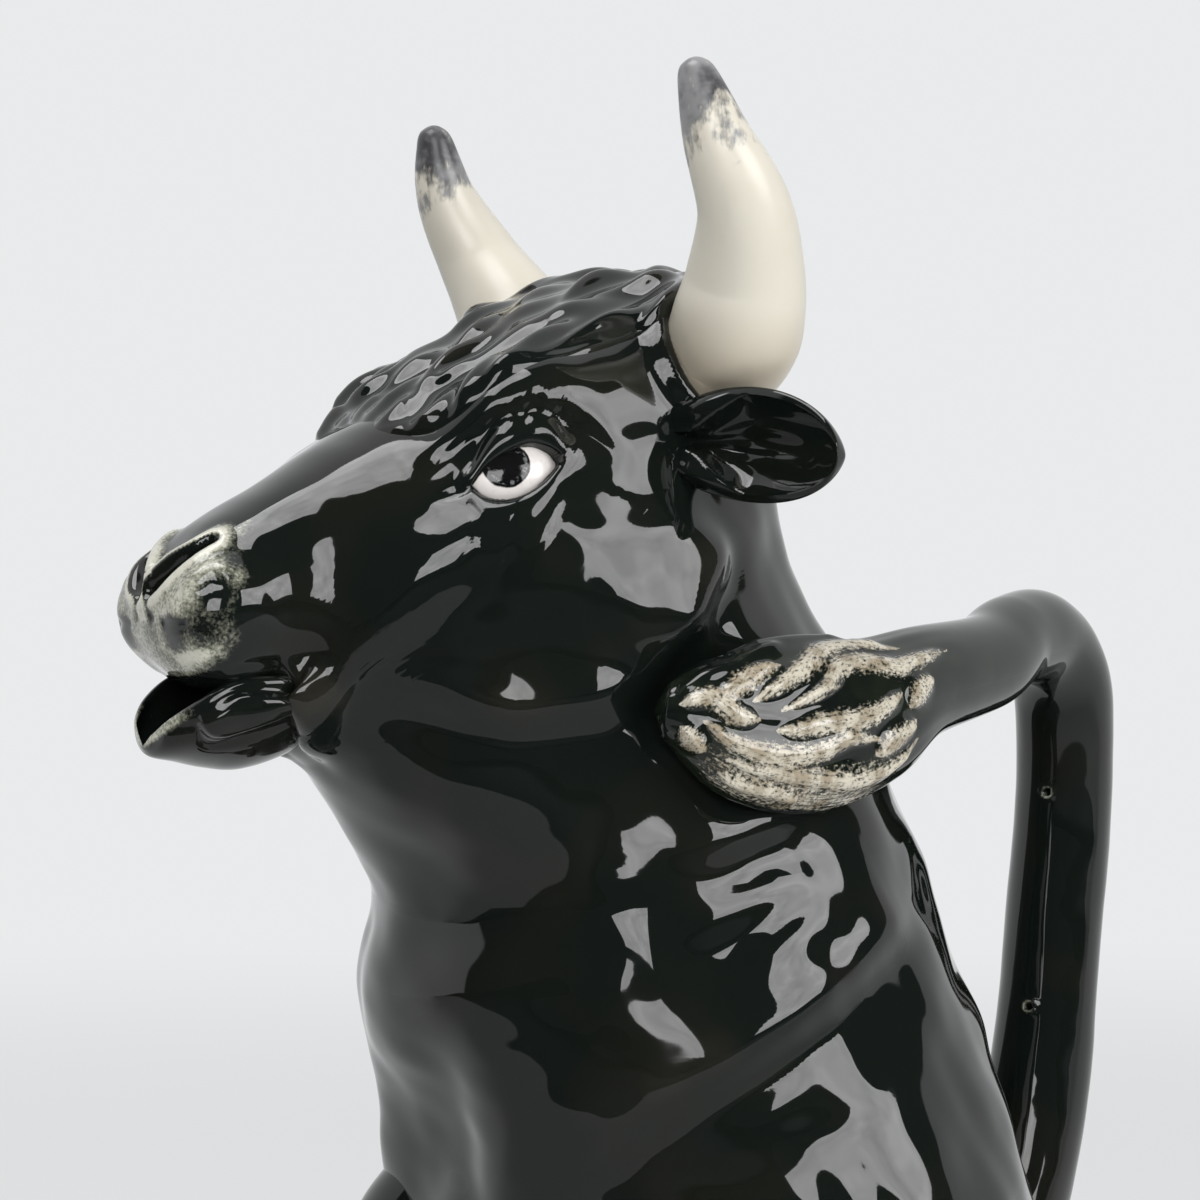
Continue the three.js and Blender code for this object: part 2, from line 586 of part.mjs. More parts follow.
function addPiece(name, body, glaze) {
  const { vertProperties, triVerts } = body.getMesh();
  const geometry = new THREE.BufferGeometry();
  geometry.setAttribute("position", new THREE.BufferAttribute(Float32Array.from(vertProperties), 3));
  geometry.setIndex(new THREE.BufferAttribute(Uint32Array.from(triVerts), 1));
  geometry.computeVertexNormals();
  const mesh = new THREE.Mesh(geometry, new THREE.MeshStandardMaterial({ ...glaze, metalness: 0 }));
  mesh.name = name;
  group.add(mesh);
}

addPiece("body_shell", bodyShell, black);
addPiece("head_shell", headShell, black);
addPiece("lower_jaw", lowerJaw, black);
addPiece("forelock", forelock, black);
addPiece("left_horn", leftHorn, ivory);
addPiece("right_horn", rightHorn, ivory);
addPiece("left_ear", leftEar, black);
addPiece("right_ear", rightEar, black);
addPiece("left_eye", leftEye, white);
addPiece("right_eye", rightEye, white);
addPiece("tail_handle", tailHandle, black);
addPiece("tail_tuft", tailTuft, brushed);
addPiece("left_foreleg", leftForeleg, black);
addPiece("right_foreleg", rightForeleg, black);
addPiece("left_hind_hoof", leftHoof, black);
addPiece("right_hind_hoof", rightHoof, black);

export default group;
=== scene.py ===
import bmesh
import bpy
import numpy as np
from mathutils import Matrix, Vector


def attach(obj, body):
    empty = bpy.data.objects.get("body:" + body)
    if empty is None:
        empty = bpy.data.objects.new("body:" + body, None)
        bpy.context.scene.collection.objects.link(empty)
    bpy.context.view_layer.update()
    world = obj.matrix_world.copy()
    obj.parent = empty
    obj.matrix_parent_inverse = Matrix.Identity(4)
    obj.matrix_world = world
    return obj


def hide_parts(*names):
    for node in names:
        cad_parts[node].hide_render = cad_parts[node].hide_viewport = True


# Bull jug dressed for the photograph. Everything is worked out in millimetres and put into the meshes in
# metres. x runs to the muzzle, y to the bull's left, z up. Rings (u) run from the foot to the mouth, turns
# (v) round a ring.
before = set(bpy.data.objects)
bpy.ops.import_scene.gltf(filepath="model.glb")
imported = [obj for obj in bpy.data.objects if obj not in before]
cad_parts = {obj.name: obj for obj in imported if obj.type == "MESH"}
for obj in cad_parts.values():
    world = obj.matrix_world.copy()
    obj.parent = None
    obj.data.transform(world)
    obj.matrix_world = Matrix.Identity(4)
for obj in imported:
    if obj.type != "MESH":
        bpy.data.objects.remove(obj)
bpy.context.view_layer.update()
scene = bpy.context.scene
scene.view_settings.view_transform = "Standard"
dice = np.random.default_rng(11)
waveSeed = dice.bit_generator.state
veryFar = 1e3  # millimetres
print("frame loaded:", len(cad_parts), "nodes")


# share of the way from start to end, eased at both: 3t^2 - 2t^3
def ramp(x, start, end):
    t = np.clip((x - start) / (end - start), 0, 1)
    return t * t * (3 - 2 * t)


# a bell of the given half width: e to the minus (x / width) squared
def bell(x, width):
    return np.exp(-((x / width) ** 2))


# a bell of a given size about a place
def hill(x, size, place, width):
    return size * bell(x - place, width)


# 1 along a curve, eased to 0 over the given shares of its two ends
def held(share, first, last):
    return ramp(share, 0, first) * ramp(1 - share, 0, last)


def unit(a):
    return a / np.maximum(np.linalg.norm(a, axis=-1, keepdims=True), 1e-9)


def circle(count):
    return np.linspace(0, 2 * np.pi, count, endpoint=False)


# even shares from first to last, then a quarter sine over rest, so that samples crowd at a rounded end
def roundedShares(first, last, rest, even, crowded):
    quarter = np.sin(np.linspace(0, np.pi / 2, crowded))[1:]
    return np.concatenate([np.linspace(first, last, even), last + rest * quarter])


# points brought to the bull's left, where the forms shared by both sides are worked out
def leftSide(points):
    left = points.copy()
    left[..., 1] = np.abs(points[..., 1])
    return left


# uniform cubic B-spline over rows of numbers, the ends carried on straight
def ringSpline(rows, u):
    u = np.asarray(u, float)
    before, after = 2 * rows[0] - rows[1], 2 * rows[-1] - rows[-2]
    joined = np.vstack([before, rows, after, after])
    i = np.clip(np.floor(u).astype(int), 0, len(rows) - 2)
    t = (u - i)[..., None]
    a, b, c, d = joined[i], joined[i + 1], joined[i + 2], joined[i + 3]
    nearA, nearB = (1 - t) ** 3, 3 * t**3 - 6 * t**2 + 4
    nearC, nearD = -3 * t**3 + 3 * t**2 + 3 * t + 1, t**3
    return (nearA * a + nearB * b + nearC * c + nearD * d) / 6


# Catmull-Rom curve through points, read at shares 0 to 1 of its points
def threaded(points, share):
    p = np.asarray(points, float)
    p = p[:, None] if p.ndim == 1 else p
    joined = np.vstack([2 * p[0] - p[1], p, 2 * p[-1] - p[-2]])
    s = np.asarray(share, float) * (len(p) - 1)
    i = np.clip(np.floor(s).astype(int), 0, len(p) - 2)
    t = (s - i)[..., None]
    a, b, c, d = joined[i], joined[i + 1], joined[i + 2], joined[i + 3]
    out = 0.5 * (2 * b + (c - a) * t + (2 * a - 5 * b + 4 * c - d) * t**2 + (3 * b - a - 3 * c + d) * t**3)
    return out[..., 0] if np.ndim(points) == 1 else out


# Distance to a curve, share along it, and the distance signed + on the left of its run as seen from the
# bull's left. Points further than reach outside the curve's box count as very far.
def nearCurve(points, curve, reach=40.0):
    flat = points.reshape(-1, 3)
    far, share, signed = np.full(len(flat), veryFar), np.zeros(len(flat)), np.full(len(flat), veryFar)
    close = np.nonzero(((flat > curve.min(0) - reach) & (flat < curve.max(0) + reach)).all(1))[0]
    near = flat[close]
    best = np.argmin((curve**2).sum(1)[None] - 2 * near @ curve.T, axis=1)
    pace = np.gradient(curve, axis=0)[best]
    run = unit(pace)
    gap = near - curve[best]
    ahead = (gap * run).sum(1)
    off = gap - run * ahead[:, None]
    place = np.clip((best + ahead / np.linalg.norm(pace, axis=1)) / (len(curve) - 1), 0, 1)
    atEnd = (best == 0) | (best == len(curve) - 1)
    length = np.linalg.norm(np.where(atEnd[:, None], gap, off), axis=1)
    side = np.sign(run[:, 0] * off[:, 2] - run[:, 2] * off[:, 0])
    far[close], share[close], signed[close] = length, place, length * side
    shape = points.shape[:-1]
    return far.reshape(shape), share.reshape(shape), signed.reshape(shape)


# quads between neighbouring rows and columns of a grid
def gridFaces(rows, cols, wrapCols, start=0):
    i = start + np.arange(rows * cols).reshape(rows, cols)
    if wrapCols:
        i = np.hstack([i, i[:, :1]])
    return np.stack([i[:-1, :-1], i[1:, :-1], i[1:, 1:], i[:-1, 1:]], -1).reshape(-1, 4)


meshing = dict(mergeWithin=4e-6, thinnest=1e-7)  # metres


# One piece from grids of points: each grid is (points, wrapCols, flip, material number or one per row of
# faces). Doubled points are merged, so seams and poles close.
def makePiece(name, grids, materials, marks=None, crease=60):
    points, faces, numbers, start = [], [], [], 0
    for grid, wrapCols, flip, number in grids:
        rows, cols = grid.shape[:2]
        quads = gridFaces(rows, cols, wrapCols, start)
        faces.append(quads[:, ::-1] if flip else quads)
        perRow = cols if wrapCols else cols - 1
        numbers.append(np.repeat(np.broadcast_to(number, (rows - 1,)), perRow))
        points.append(grid.reshape(-1, 3))
        start += rows * cols
    mesh = bpy.data.meshes.new(name)
    mesh.from_pydata((np.vstack(points) / 1000).tolist(), [], np.vstack(faces).tolist())
    mesh.polygons.foreach_set("material_index", np.concatenate(numbers).astype(np.int32))
    for label, values in (marks or {}).items():
        layer = mesh.attributes.new(label, "FLOAT", "POINT")
        layer.data.foreach_set("value", np.concatenate([v.reshape(-1) for v in values]).astype(np.float32))
    work = bmesh.new()
    work.from_mesh(mesh)
    bmesh.ops.remove_doubles(work, verts=work.verts, dist=meshing["mergeWithin"])
    bmesh.ops.dissolve_degenerate(work, edges=work.edges, dist=meshing["thinnest"])
    work.to_mesh(mesh)
    work.free()
    mesh.polygons.foreach_set("use_smooth", np.ones(len(mesh.polygons), bool))
    mesh.set_sharp_from_angle(angle=np.radians(crease))
    for material in materials:
        mesh.materials.append(material)
    piece = bpy.data.objects.new(name, mesh)
    scene.collection.objects.link(piece)
    return piece


def settle(piece, slotName, *nodes):
    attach(piece, "root")
    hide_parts(*nodes)
    print("  ", piece.name, len(piece.data.polygons), "faces")


# glazes and other materials

def newMaterial(name):
    material = bpy.data.materials.new(name)
    material.use_nodes = True
    tree = material.node_tree
    return material, tree, tree.nodes["Principled BSDF"]


def addNode(tree, kind, **values):
    node = tree.nodes.new(kind)
    for key, value in values.items():
        setattr(node, key, value)
    return node


# a socket takes a number, a colour or another node's output
def feed(tree, socket, value):
    if isinstance(value, (int, float)):
        socket.default_value = value
    elif isinstance(value, tuple):
        socket.default_value = (*value, 1)
    else:
        tree.links.new(value, socket)


def mathNode(tree, operation, a, b, clamp=False):
    node = addNode(tree, "ShaderNodeMath", operation=operation, use_clamp=clamp)
    feed(tree, node.inputs[0], a)
    feed(tree, node.inputs[1], b)
    return node.outputs[0]


def plus(tree, a, b):
    return mathNode(tree, "ADD", a, b)


def times(tree, a, b):
    return mathNode(tree, "MULTIPLY", a, b)


# noise about its middle, times size
def swing(tree, noise, size):
    return times(tree, mathNode(tree, "SUBTRACT", noise, 0.5), size)


# a value that runs from low to high with share
def between(tree, share, ends):
    low, high = ends
    return plus(tree, times(tree, share, high - low), low)


# smooth 0 to 1 between two values of a socket
def stepNode(tree, value, low, high):
    node = addNode(tree, "ShaderNodeMapRange", interpolation_type="SMOOTHSTEP")
    tree.links.new(value, node.inputs["Value"])
    node.inputs["From Min"].default_value = low
    node.inputs["From Max"].default_value = high
    return node.outputs["Result"]


def noiseNode(tree, vector, scale, detail=3.0, rough=0.55):
    node = addNode(tree, "ShaderNodeTexNoise")
    feed(tree, node.inputs["Scale"], scale)
    node.inputs["Detail"].default_value = detail
    node.inputs["Roughness"].default_value = rough
    tree.links.new(vector, node.inputs["Vector"])
    return node.outputs["Fac"]


# patches of a look's named noise: 0 to 1 over its edge
def patchNode(tree, place, look, name):
    return stepNode(tree, noiseNode(tree, place, *look[name]), *look[name + "Edge"])


def mixColour(tree, share, a, b):
    node = addNode(tree, "ShaderNodeMix", data_type="RGBA")
    for number, value in ((0, share), (6, a), (7, b)):
        feed(tree, node.inputs[number], value)
    return node.outputs[2]


def markNode(tree, label):
    return addNode(tree, "ShaderNodeAttribute", attribute_name=label).outputs["Fac"]


def objectPlace(tree):
    return addNode(tree, "ShaderNodeTexCoord").outputs["Object"]


def bumpNode(tree, shader, height, strength, distance):
    node = addNode(tree, "ShaderNodeBump")
    node.inputs["Strength"].default_value = strength
    node.inputs["Distance"].default_value = distance
    tree.links.new(height, node.inputs["Height"])
    tree.links.new(node.outputs["Normal"], shader.inputs["Normal"])


def paintShader(tree, shader, colour, rough):
    tree.links.new(colour, shader.inputs["Base Color"])
    tree.links.new(rough, shader.inputs["Roughness"])


# a node group of plain values, with what it takes and what it gives
def newGroup(name, takes, gives):
    group = bpy.data.node_groups.new(name, "ShaderNodeTree")
    for labels, way in ((takes, "INPUT"), (gives, "OUTPUT")):
        for label in labels:
            group.interface.new_socket(label, in_out=way, socket_type="NodeSocketFloat")
    return group, group.nodes.new("NodeGroupInput").outputs, group.nodes.new("NodeGroupOutput").inputs


def placeGroup(tree, group, **values):
    node = addNode(tree, "ShaderNodeGroup", node_tree=group)
    for label, value in values.items():
        feed(tree, node.inputs[label], value)
    return node


spongeLook = dict(
    detail=(4.0, 6.0), rough=0.6, size=(0.95, 1.0), askedEdge=(0.03, 0.25), coverEdge=(0.1, 0.78),
    toneEdge=(0.35, 1.0),
)


# Sponge strokes: the painted amount, broken by a coarse and a fine noise; Cover is where paint sits, Tone how
# thickly.
def spongeGroup():
    look = spongeLook
    group, taken, given = newGroup("spongeStrokes", ("Amount", "Coarse", "Fine"), ("Cover", "Tone"))
    place = objectPlace(group)
    broken = [swing(group, noiseNode(group, place, taken[label], detail, look["rough"]), size)
              for label, detail, size in zip(("Coarse", "Fine"), look["detail"], look["size"])]
    level = plus(group, taken["Amount"], plus(group, *broken))
    asked = stepNode(group, taken["Amount"], *look["askedEdge"])
    group.links.new(times(group, stepNode(group, level, *look["coverEdge"]), asked), given["Cover"])
    group.links.new(stepNode(group, level, *look["toneEdge"]), given["Tone"])
    return group


waverLook = dict(noise=(1.0, 0.5), quicker=4.1, quickSize=0.12, poolEdge=(0.42, 0.7))


# Glaze waver: slow and quick noise together, a height for the glaze's own unevenness; Pool is where it lies
# thicker.
def waverGroup():
    look = waverLook
    group, taken, given = newGroup("glazeWaver", ("Scale",), ("Height", "Pool"))
    place = objectPlace(group)
    slow = noiseNode(group, place, taken["Scale"], *look["noise"])
    quick = noiseNode(group, place, times(group, taken["Scale"], look["quicker"]), *look["noise"])
    group.links.new(plus(group, slow, times(group, quick, look["quickSize"])), given["Height"])
    group.links.new(stepNode(group, slow, *look["poolEdge"]), given["Pool"])
    return group


sponge, waver = spongeGroup(), waverGroup()


# the waver as a shader's normal; gives where the glaze pools
def wavyNormal(tree, shader, look):
    uneven = placeGroup(tree, waver, Scale=look["waver"])
    bumpNode(tree, shader, uneven.outputs["Height"], 1.0, look["waverDepth"])
    return uneven.outputs["Pool"]


# In every look a noise is its scale, detail and roughness, and an edge is where a step starts and ends.
glazeLook = dict(
    black=(0.0056, 0.0082, 0.0068), brown=(0.0085, 0.0096, 0.0072), worn=(0.022, 0.02, 0.0155),
    roughness=(0.025, 0.05), cream=(0.66, 0.645, 0.56), olive=(0.33, 0.335, 0.26), spongeCoarse=210.0,
    spongeFine=1900.0, paintRoughness=0.06, waver=55.0, waverDepth=0.00018,
)


# Black glaze: near black, a little browner in its pools and on worn edges, cream sponged by the brush mark.
def blackGlaze():
    look = glazeLook
    material, tree, shader = newMaterial("blackGlaze")
    pool = wavyNormal(tree, shader, look)
    paint = placeGroup(tree, sponge, Amount=markNode(tree, "brush"),
                       Coarse=look["spongeCoarse"], Fine=look["spongeFine"])
    cover = paint.outputs["Cover"]
    ground = mixColour(tree, pool, look["black"], look["brown"])
    ground = mixColour(tree, times(tree, markNode(tree, "worn"), pool), ground, look["worn"])
    stroke = mixColour(tree, paint.outputs["Tone"], look["olive"], look["cream"])
    rough = plus(tree, between(tree, pool, look["roughness"]), times(tree, cover, look["paintRoughness"]))
    paintShader(tree, shader, mixColour(tree, cover, ground, stroke), rough)
    return material


hornLook = dict(
    ivory=(0.70, 0.66, 0.565), warm=(0.55, 0.46, 0.33), ash=(0.05, 0.05, 0.055), paleAsh=(0.26, 0.26, 0.265),
    roughness=(0.26, 0.36), ashEdge=(0.71, 0.79), waver=70.0, waverDepth=0.00012, cloud=(60.0, 3.0),
    cloudEdge=(0.5, 0.8), cloudWarmth=0.16, alongEdge=(0.42, 0.2), shadeUnderEdge=(0.1, 0.9), footShadeShare=0.55,
    streak=(620.0, 5.0, 0.65), streakStretch=(1.0, 1.0, 0.28), streakSize=0.2, streakEdge=(0.16, 0.42),
    blot=(180.0, 3.0), blotSize=0.34, blotEdge=(0.4, 0.68),
)


# Horn glaze: ivory, warm in its clouds, with painted shade that turns the underside of its foot warm and
# darker, and ash brushed over the tip in streaks.
def ivoryGlaze():
    look = hornLook
    material, tree, shader = newMaterial("ivoryGlaze")
    place, along = objectPlace(tree), markNode(tree, "along")
    cloud = noiseNode(tree, place, *look["cloud"])
    # painted shade: near the foot, the underside of the horn turns to the darker warm tone
    under = stepNode(tree, markNode(tree, "under"), *look["shadeUnderEdge"])
    foot = times(tree, stepNode(tree, along, *look["alongEdge"]), under)
    clouded = times(tree, stepNode(tree, cloud, *look["cloudEdge"]), look["cloudWarmth"])
    warmthAndShade = mathNode(tree, "ADD", times(tree, foot, look["footShadeShare"]), clouded, clamp=True)
    body = mixColour(tree, warmthAndShade, look["ivory"], look["warm"])
    stretch = addNode(tree, "ShaderNodeMapping")
    stretch.inputs["Scale"].default_value = look["streakStretch"]
    tree.links.new(place, stretch.inputs["Vector"])
    streak = noiseNode(tree, stretch.outputs["Vector"], *look["streak"])
    blot = noiseNode(tree, place, *look["blot"])
    level = plus(tree, along, swing(tree, blot, look["blotSize"]))
    level = plus(tree, level, swing(tree, streak, look["streakSize"]))
    cover = times(tree, stepNode(tree, level, *look["ashEdge"]), stepNode(tree, streak, *look["streakEdge"]))
    ash = mixColour(tree, stepNode(tree, blot, *look["blotEdge"]), look["ash"], look["paleAsh"])
    paintShader(tree, shader, mixColour(tree, cover, body, ash), between(tree, cloud, look["roughness"]))
    wavyNormal(tree, shader, look)
    return material


eyeLook = dict(
    white=(0.80, 0.755, 0.73), blush=(0.62, 0.55, 0.52), iris=(0.005, 0.005, 0.0055),
    fleck=(0.16, 0.165, 0.165), irisSize=3.9, irisSoft=0.14, roughness=(0.05, 0.12), ragged=(420.0, 4.0),
    raggedSize=0.8, lidEdge=(-0.5, -0.15),
    fleckBand=((-1.3, -0.8), (-0.3, -0.6)), fleckEdge=(0.5, 0.6),  # the band is measured from the iris's size
    speck=(900.0, 4.0), speckEdge=(0.5, 0.72), blushShare=0.25, grain=(1500.0, 4.0), grainStrength=0.4,
    grainDepth=0.00004,
)


# Eye: dark inside the iris's size and pale outside it, black again by the lids, all with brushed ragged
# edges.
def eyeGlaze():
    look = eyeLook
    material, tree, shader = newMaterial("eyeGlaze")
    place = objectPlace(tree)
    ragged = swing(tree, noiseNode(tree, place, *look["ragged"]), look["raggedSize"])
    far = plus(tree, markNode(tree, "irisFar"), ragged)
    size, soft = look["irisSize"], look["irisSoft"]
    outside = stepNode(tree, far, size - soft, size + soft)
    band = times(tree, *(stepNode(tree, far, size + low, size + high) for low, high in look["fleckBand"]))
    grain = noiseNode(tree, place, *look["grain"])
    flecked = times(tree, band, stepNode(tree, grain, *look["fleckEdge"]))
    dark = mixColour(tree, flecked, look["iris"], look["fleck"])
    speck = patchNode(tree, place, look, "speck")
    pale = mixColour(tree, times(tree, speck, look["blushShare"]), look["white"], look["blush"])
    rim = stepNode(tree, plus(tree, markNode(tree, "lidFar"), ragged), *look["lidEdge"])
    painted = mixColour(tree, rim, mixColour(tree, outside, dark, pale), look["iris"])
    paintShader(tree, shader, painted, between(tree, speck, look["roughness"]))
    bumpNode(tree, shader, grain, look["grainStrength"], look["grainDepth"])
    return material


tuftLook = dict(
    cream=(0.62, 0.575, 0.475), tan=(0.36, 0.305, 0.22), black=(0.0056, 0.0082, 0.0068),
    moss=(0.011, 0.015, 0.009), roughness=(0.04, 0.13), drag=(1.0, 4.0, 0.65), dragAlong=0.3, dragAcross=2.2,
    dragSize=1.5, grain=(1500.0, 4.0, 0.65), grainSize=1.35, coverEdge=(0.26, 0.76), askedEdge=(0.02, 0.2),
    patch=(260.0, 4.0), patchEdge=(0.38, 0.6), mossPatch=(140.0,), mossPatchEdge=(0.4, 0.7), waver=90.0,
    waverDepth=0.00012,
)


# Tuft glaze: cream and tan dragged along the raised strands with a dry brush, mossy black left between them.
# The drag is noise on the places along and across a strand, stretched along it; grain breaks it up.
def brushedGlaze():
    look = tuftLook
    material, tree, shader = newMaterial("brushedGlaze")
    place, amount = objectPlace(tree), markNode(tree, "brush")
    run = addNode(tree, "ShaderNodeCombineXYZ")
    tree.links.new(times(tree, markNode(tree, "alongStrand"), look["dragAlong"]), run.inputs["X"])
    tree.links.new(times(tree, markNode(tree, "acrossStrand"), look["dragAcross"]), run.inputs["Y"])
    drag = noiseNode(tree, run.outputs[0], *look["drag"])
    grain = noiseNode(tree, place, *look["grain"])
    level = plus(tree, amount, swing(tree, drag, look["dragSize"]))
    level = plus(tree, level, swing(tree, grain, look["grainSize"]))
    cover = times(tree, stepNode(tree, level, *look["coverEdge"]), stepNode(tree, amount, *look["askedEdge"]))
    stroke = mixColour(tree, patchNode(tree, place, look, "patch"), look["tan"], look["cream"])
    ground = mixColour(tree, patchNode(tree, place, look, "mossPatch"), look["black"], look["moss"])
    paintShader(tree, shader, mixColour(tree, cover, ground, stroke), between(tree, cover, look["roughness"]))
    wavyNormal(tree, shader, look)
    return material


clayLook = dict(
    pale=(0.68, 0.63, 0.55), warm=(0.60, 0.54, 0.45), iron=(0.3, 0.22, 0.16), roughness=(0.7, 0.9),
    cloud=(70.0,), cloudEdge=(0.35, 0.7), speck=(900.0, 2.0), speckEdge=(0.7, 0.76), grain=(1500.0, 4.0),
    grainStrength=0.5, grainDepth=0.0002,
)


# Bare foot: pale unglazed clay with fine grain and a few iron specks.
def bareClay():
    look = clayLook
    material, tree, shader = newMaterial("bareClay")
    place = objectPlace(tree)
    grain = noiseNode(tree, place, *look["grain"])
    speck = patchNode(tree, place, look, "speck")
    cloud = patchNode(tree, place, look, "cloud")
    ground = mixColour(tree, cloud, look["pale"], look["warm"])
    specked = mixColour(tree, speck, ground, look["iron"])
    paintShader(tree, shader, specked, between(tree, grain, look["roughness"]))
    bumpNode(tree, shader, grain, look["grainStrength"], look["grainDepth"])
    return material


glaze, hornGlaze, eyePaint = blackGlaze(), ivoryGlaze(), eyeGlaze()
tuftGlaze, clay = brushedGlaze(), bareClay()
print("glazes mixed")

# the bull's skin

bull = dict(
    wall=4.5, floor=6.0, jointRing=7, mouthRing=26, columns=300, bodyRows=150, innerRows=34, bodyFrom=0.13,
    headRows=250, neckRows=34, headKnots=(14, 15, 18, 21, 23.4, 26),
    rowWeights=(2.2, 1.9, 2.0, 1.7, 2.5, 1.8), drawnIn=0.15, drawnAtNose=0.4, noseFrom=(18.5, 21.3),
    innerSteps=(6, 9), lipThin=0.45, lipFrom=(20, 26), lipSwell=1.3,
)
rings = np.array([
    # throat x and z, crown x and z, half width, squareness, where it is widest
    (47, 0, -47, 0, 46, 2.2, 0.5), (49, 12, -54, 12, 49.5, 2.2, 0.5), (50, 30, -59, 30, 53.5, 2.2, 0.5),
    (51.5, 50, -58, 49, 54.5, 2.2, 0.5), (50, 67, -53, 66, 52.5, 2.2, 0.5),
    (60, 83, -46.5, 84, 49.5, 2.15, 0.5), (60, 95, -40.5, 100, 47, 2.1, 0.5),
    (57.2, 104, -35, 116, 44.5, 2.1, 0.5),
    (64.6, 115, -29, 131, 42, 2.1, 0.5), (71, 124, -21.4, 147, 39.5, 2.1, 0.52),
    (74.5, 129, -11.8, 160, 37.5, 2.1, 0.55), (76.5, 131.5, -7, 174, 36, 2.1, 0.57),
    (78, 133.5, -7.5, 190, 34.5, 2.15, 0.58), (79.2, 135, -3, 204, 33.5, 2.2, 0.58),
    (80.2, 136.3, 7, 211.5, 32.5, 2.25, 0.58), (81, 137.3, 22, 210.5, 32.5, 2.3, 0.57),
    (81.6, 138.1, 38, 203.5, 31, 2.3, 0.56), (82.1, 138.7, 51.5, 195, 28.5, 2.3, 0.55),
    (82.5, 139.1, 63.5, 187.2, 24, 2.3, 0.52), (82.8, 139.4, 74.8, 180.6, 20, 2.3, 0.5),
    (83.1, 139.7, 85.2, 173.4, 17.4, 2.3, 0.5), (83.4, 139.9, 95.1, 167.2, 16.4, 2.4, 0.52),
    (83.7, 140, 102.6, 161.6, 16, 2.4, 0.56), (84, 139.95, 105.6, 155, 15.6, 2.4, 0.6),
    (84.25, 139.8, 104.7, 148.4, 14.6, 2.3, 0.6), (84.45, 139.6, 101.4, 143.8, 13, 2.2, 0.58),
    (84.6, 139.3, 97, 141.8, 11, 2.2, 0.55),
])
mounds = dict(
    # centre on the left, reach along its own axes, lift, nose-down tilt in degrees
    cheek=((42, 30, 160), (36, 24, 26), 5.5, 25), brow=((51, 26, 189), (20, 14, 11), 3.6, 32),
    socket=((54, 27, 174), (17, 14, 11), -3.2, 25), muzzlePad=((97, 14, 154), (15, 12, 13), 2.4, 25),
    jowlHollow=((20, 36, 140), (45, 24, 13), -3, -14), brisket=((60, 0, 88), (26, 30, 20), 2, 0),
    shoulder=((44, 22, 66), (26, 17, 30), 4, 0), haunch=((-14, 52, 41), (40, 30, 36), 7, 0),
)


# Plain loft: each ring is a superellipse between its throat and crown points, widest at its own share, set in
# by inset.
def loft(u, v, inset=0.0):
    ring = ringSpline(rings, u)
    throat, crown = ring[..., 0:2], ring[..., 2:4]
    half, power, widest = ring[..., 4], ring[..., 5], ring[..., 6]
    span = np.linalg.norm(crown - throat, axis=-1)
    along = (crown - throat) / span[..., None]
    middle = throat + (crown - throat) * widest[..., None]
    c, s = np.cos(v), np.sin(v)
    reach = np.where(c > 0, (1 - widest) * span, widest * span) - inset
    swell = (np.abs(c) ** power + np.abs(s) ** power) ** (-1 / power)
    a, b = c * swell * reach, s * swell * (half - inset)
    return np.stack([middle[..., 0] + along[..., 0] * a, b, middle[..., 1] + along[..., 1] * a], -1)


# outward normal of a surface function: the cross of its small steps along u and v
def normalOf(surface, u, v, step=1e-3):
    alongU = surface(u + step, v) - surface(u - step, v)
    return unit(np.cross(alongU, surface(u, v + step) - surface(u, v - step)))


# all mounds at points: lift times (1 - q)^3, q the squared distance in the mound's tilted ellipsoid
def moundHeight(points):
    height = 0.0
    for centre, reach, lift, tilt in mounds.values():
        c, s = np.cos(np.radians(tilt)), np.sin(np.radians(tilt))
        for side in (1, -1) if centre[1] else (1,):
            d = points - np.array([centre[0], centre[1] * side, centre[2]])
            x, z = d[..., 0] * c - d[..., 2] * s, d[..., 0] * s + d[..., 2] * c
            q = (x / reach[0]) ** 2 + (d[..., 1] / reach[1]) ** 2 + (z / reach[2]) ** 2
            height = height + lift * np.clip(1 - q, 0, None) ** 3
    return height


# the bull's large form: loft plus mounds along the loft's normal
def form(u, v):
    p = loft(u, v)
    return p + normalOf(loft, u, v) * moundHeight(p)[..., None]


def formAt(u, v, over=0.0):
    u, v = np.atleast_1d(np.asarray(u, float)), np.atleast_1d(np.asarray(v, float))
    return form(u, v) + normalOf(form, u, v) * np.asarray(over, float).reshape(-1, 1)


# a curve on the skin through (ring, turn) places
def skinCurve(places, count=180):
    places = np.array(places, float)
    return threaded(formAt(places[:, 0], places[:, 1]), np.linspace(0, 1, count))


# points from a start, as shares of a reach along x, y and z
def pathFrom(start, shares, reaches):
    return start + np.stack([np.array(s) * r for s, r in zip(shares, reaches)], -1)


horn = dict(
    ring=13.44, turn=0.91, rise=45.6, spread=20, sweep=15.8,
    forward=(0.02, -0.06, 0.09, 0.17, 0.39, 0.76, 0.95, 1),
    outward=(-0.3, 0.15, 0.49, 0.68, 0.93, 1, 0.94, 0.92),
    upward=(-0.09, 0.03, 0.13, 0.27, 0.48, 0.72, 0.93, 1), radius=(10.5, 11, 10.8, 9.7, 7.6, 5.5, 3.2, 1),
    rows=(110, 30), columns=96, tipShare=0.1, tipRound=5.2, tipThick=0.4, tipFrom=(0.8, 0.95), wave=0.35,
    waveFrom=12, underReach=16,
    # the collar's size, place outside the horn and width, then the seat under the horn
    collar=(2.4, 1.6, 2.2), collarTo=0.5, collarSamples=110, seat=0.8, seatEdge=(0.2, -1.0),
    wavesFrom=(-2, 4),
)
hornFoot = formAt(horn["ring"], horn["turn"])[0]
hornPoints = pathFrom(hornFoot, (horn["forward"], horn["outward"], horn["upward"]),
                      (horn["sweep"], horn["spread"], horn["rise"]))
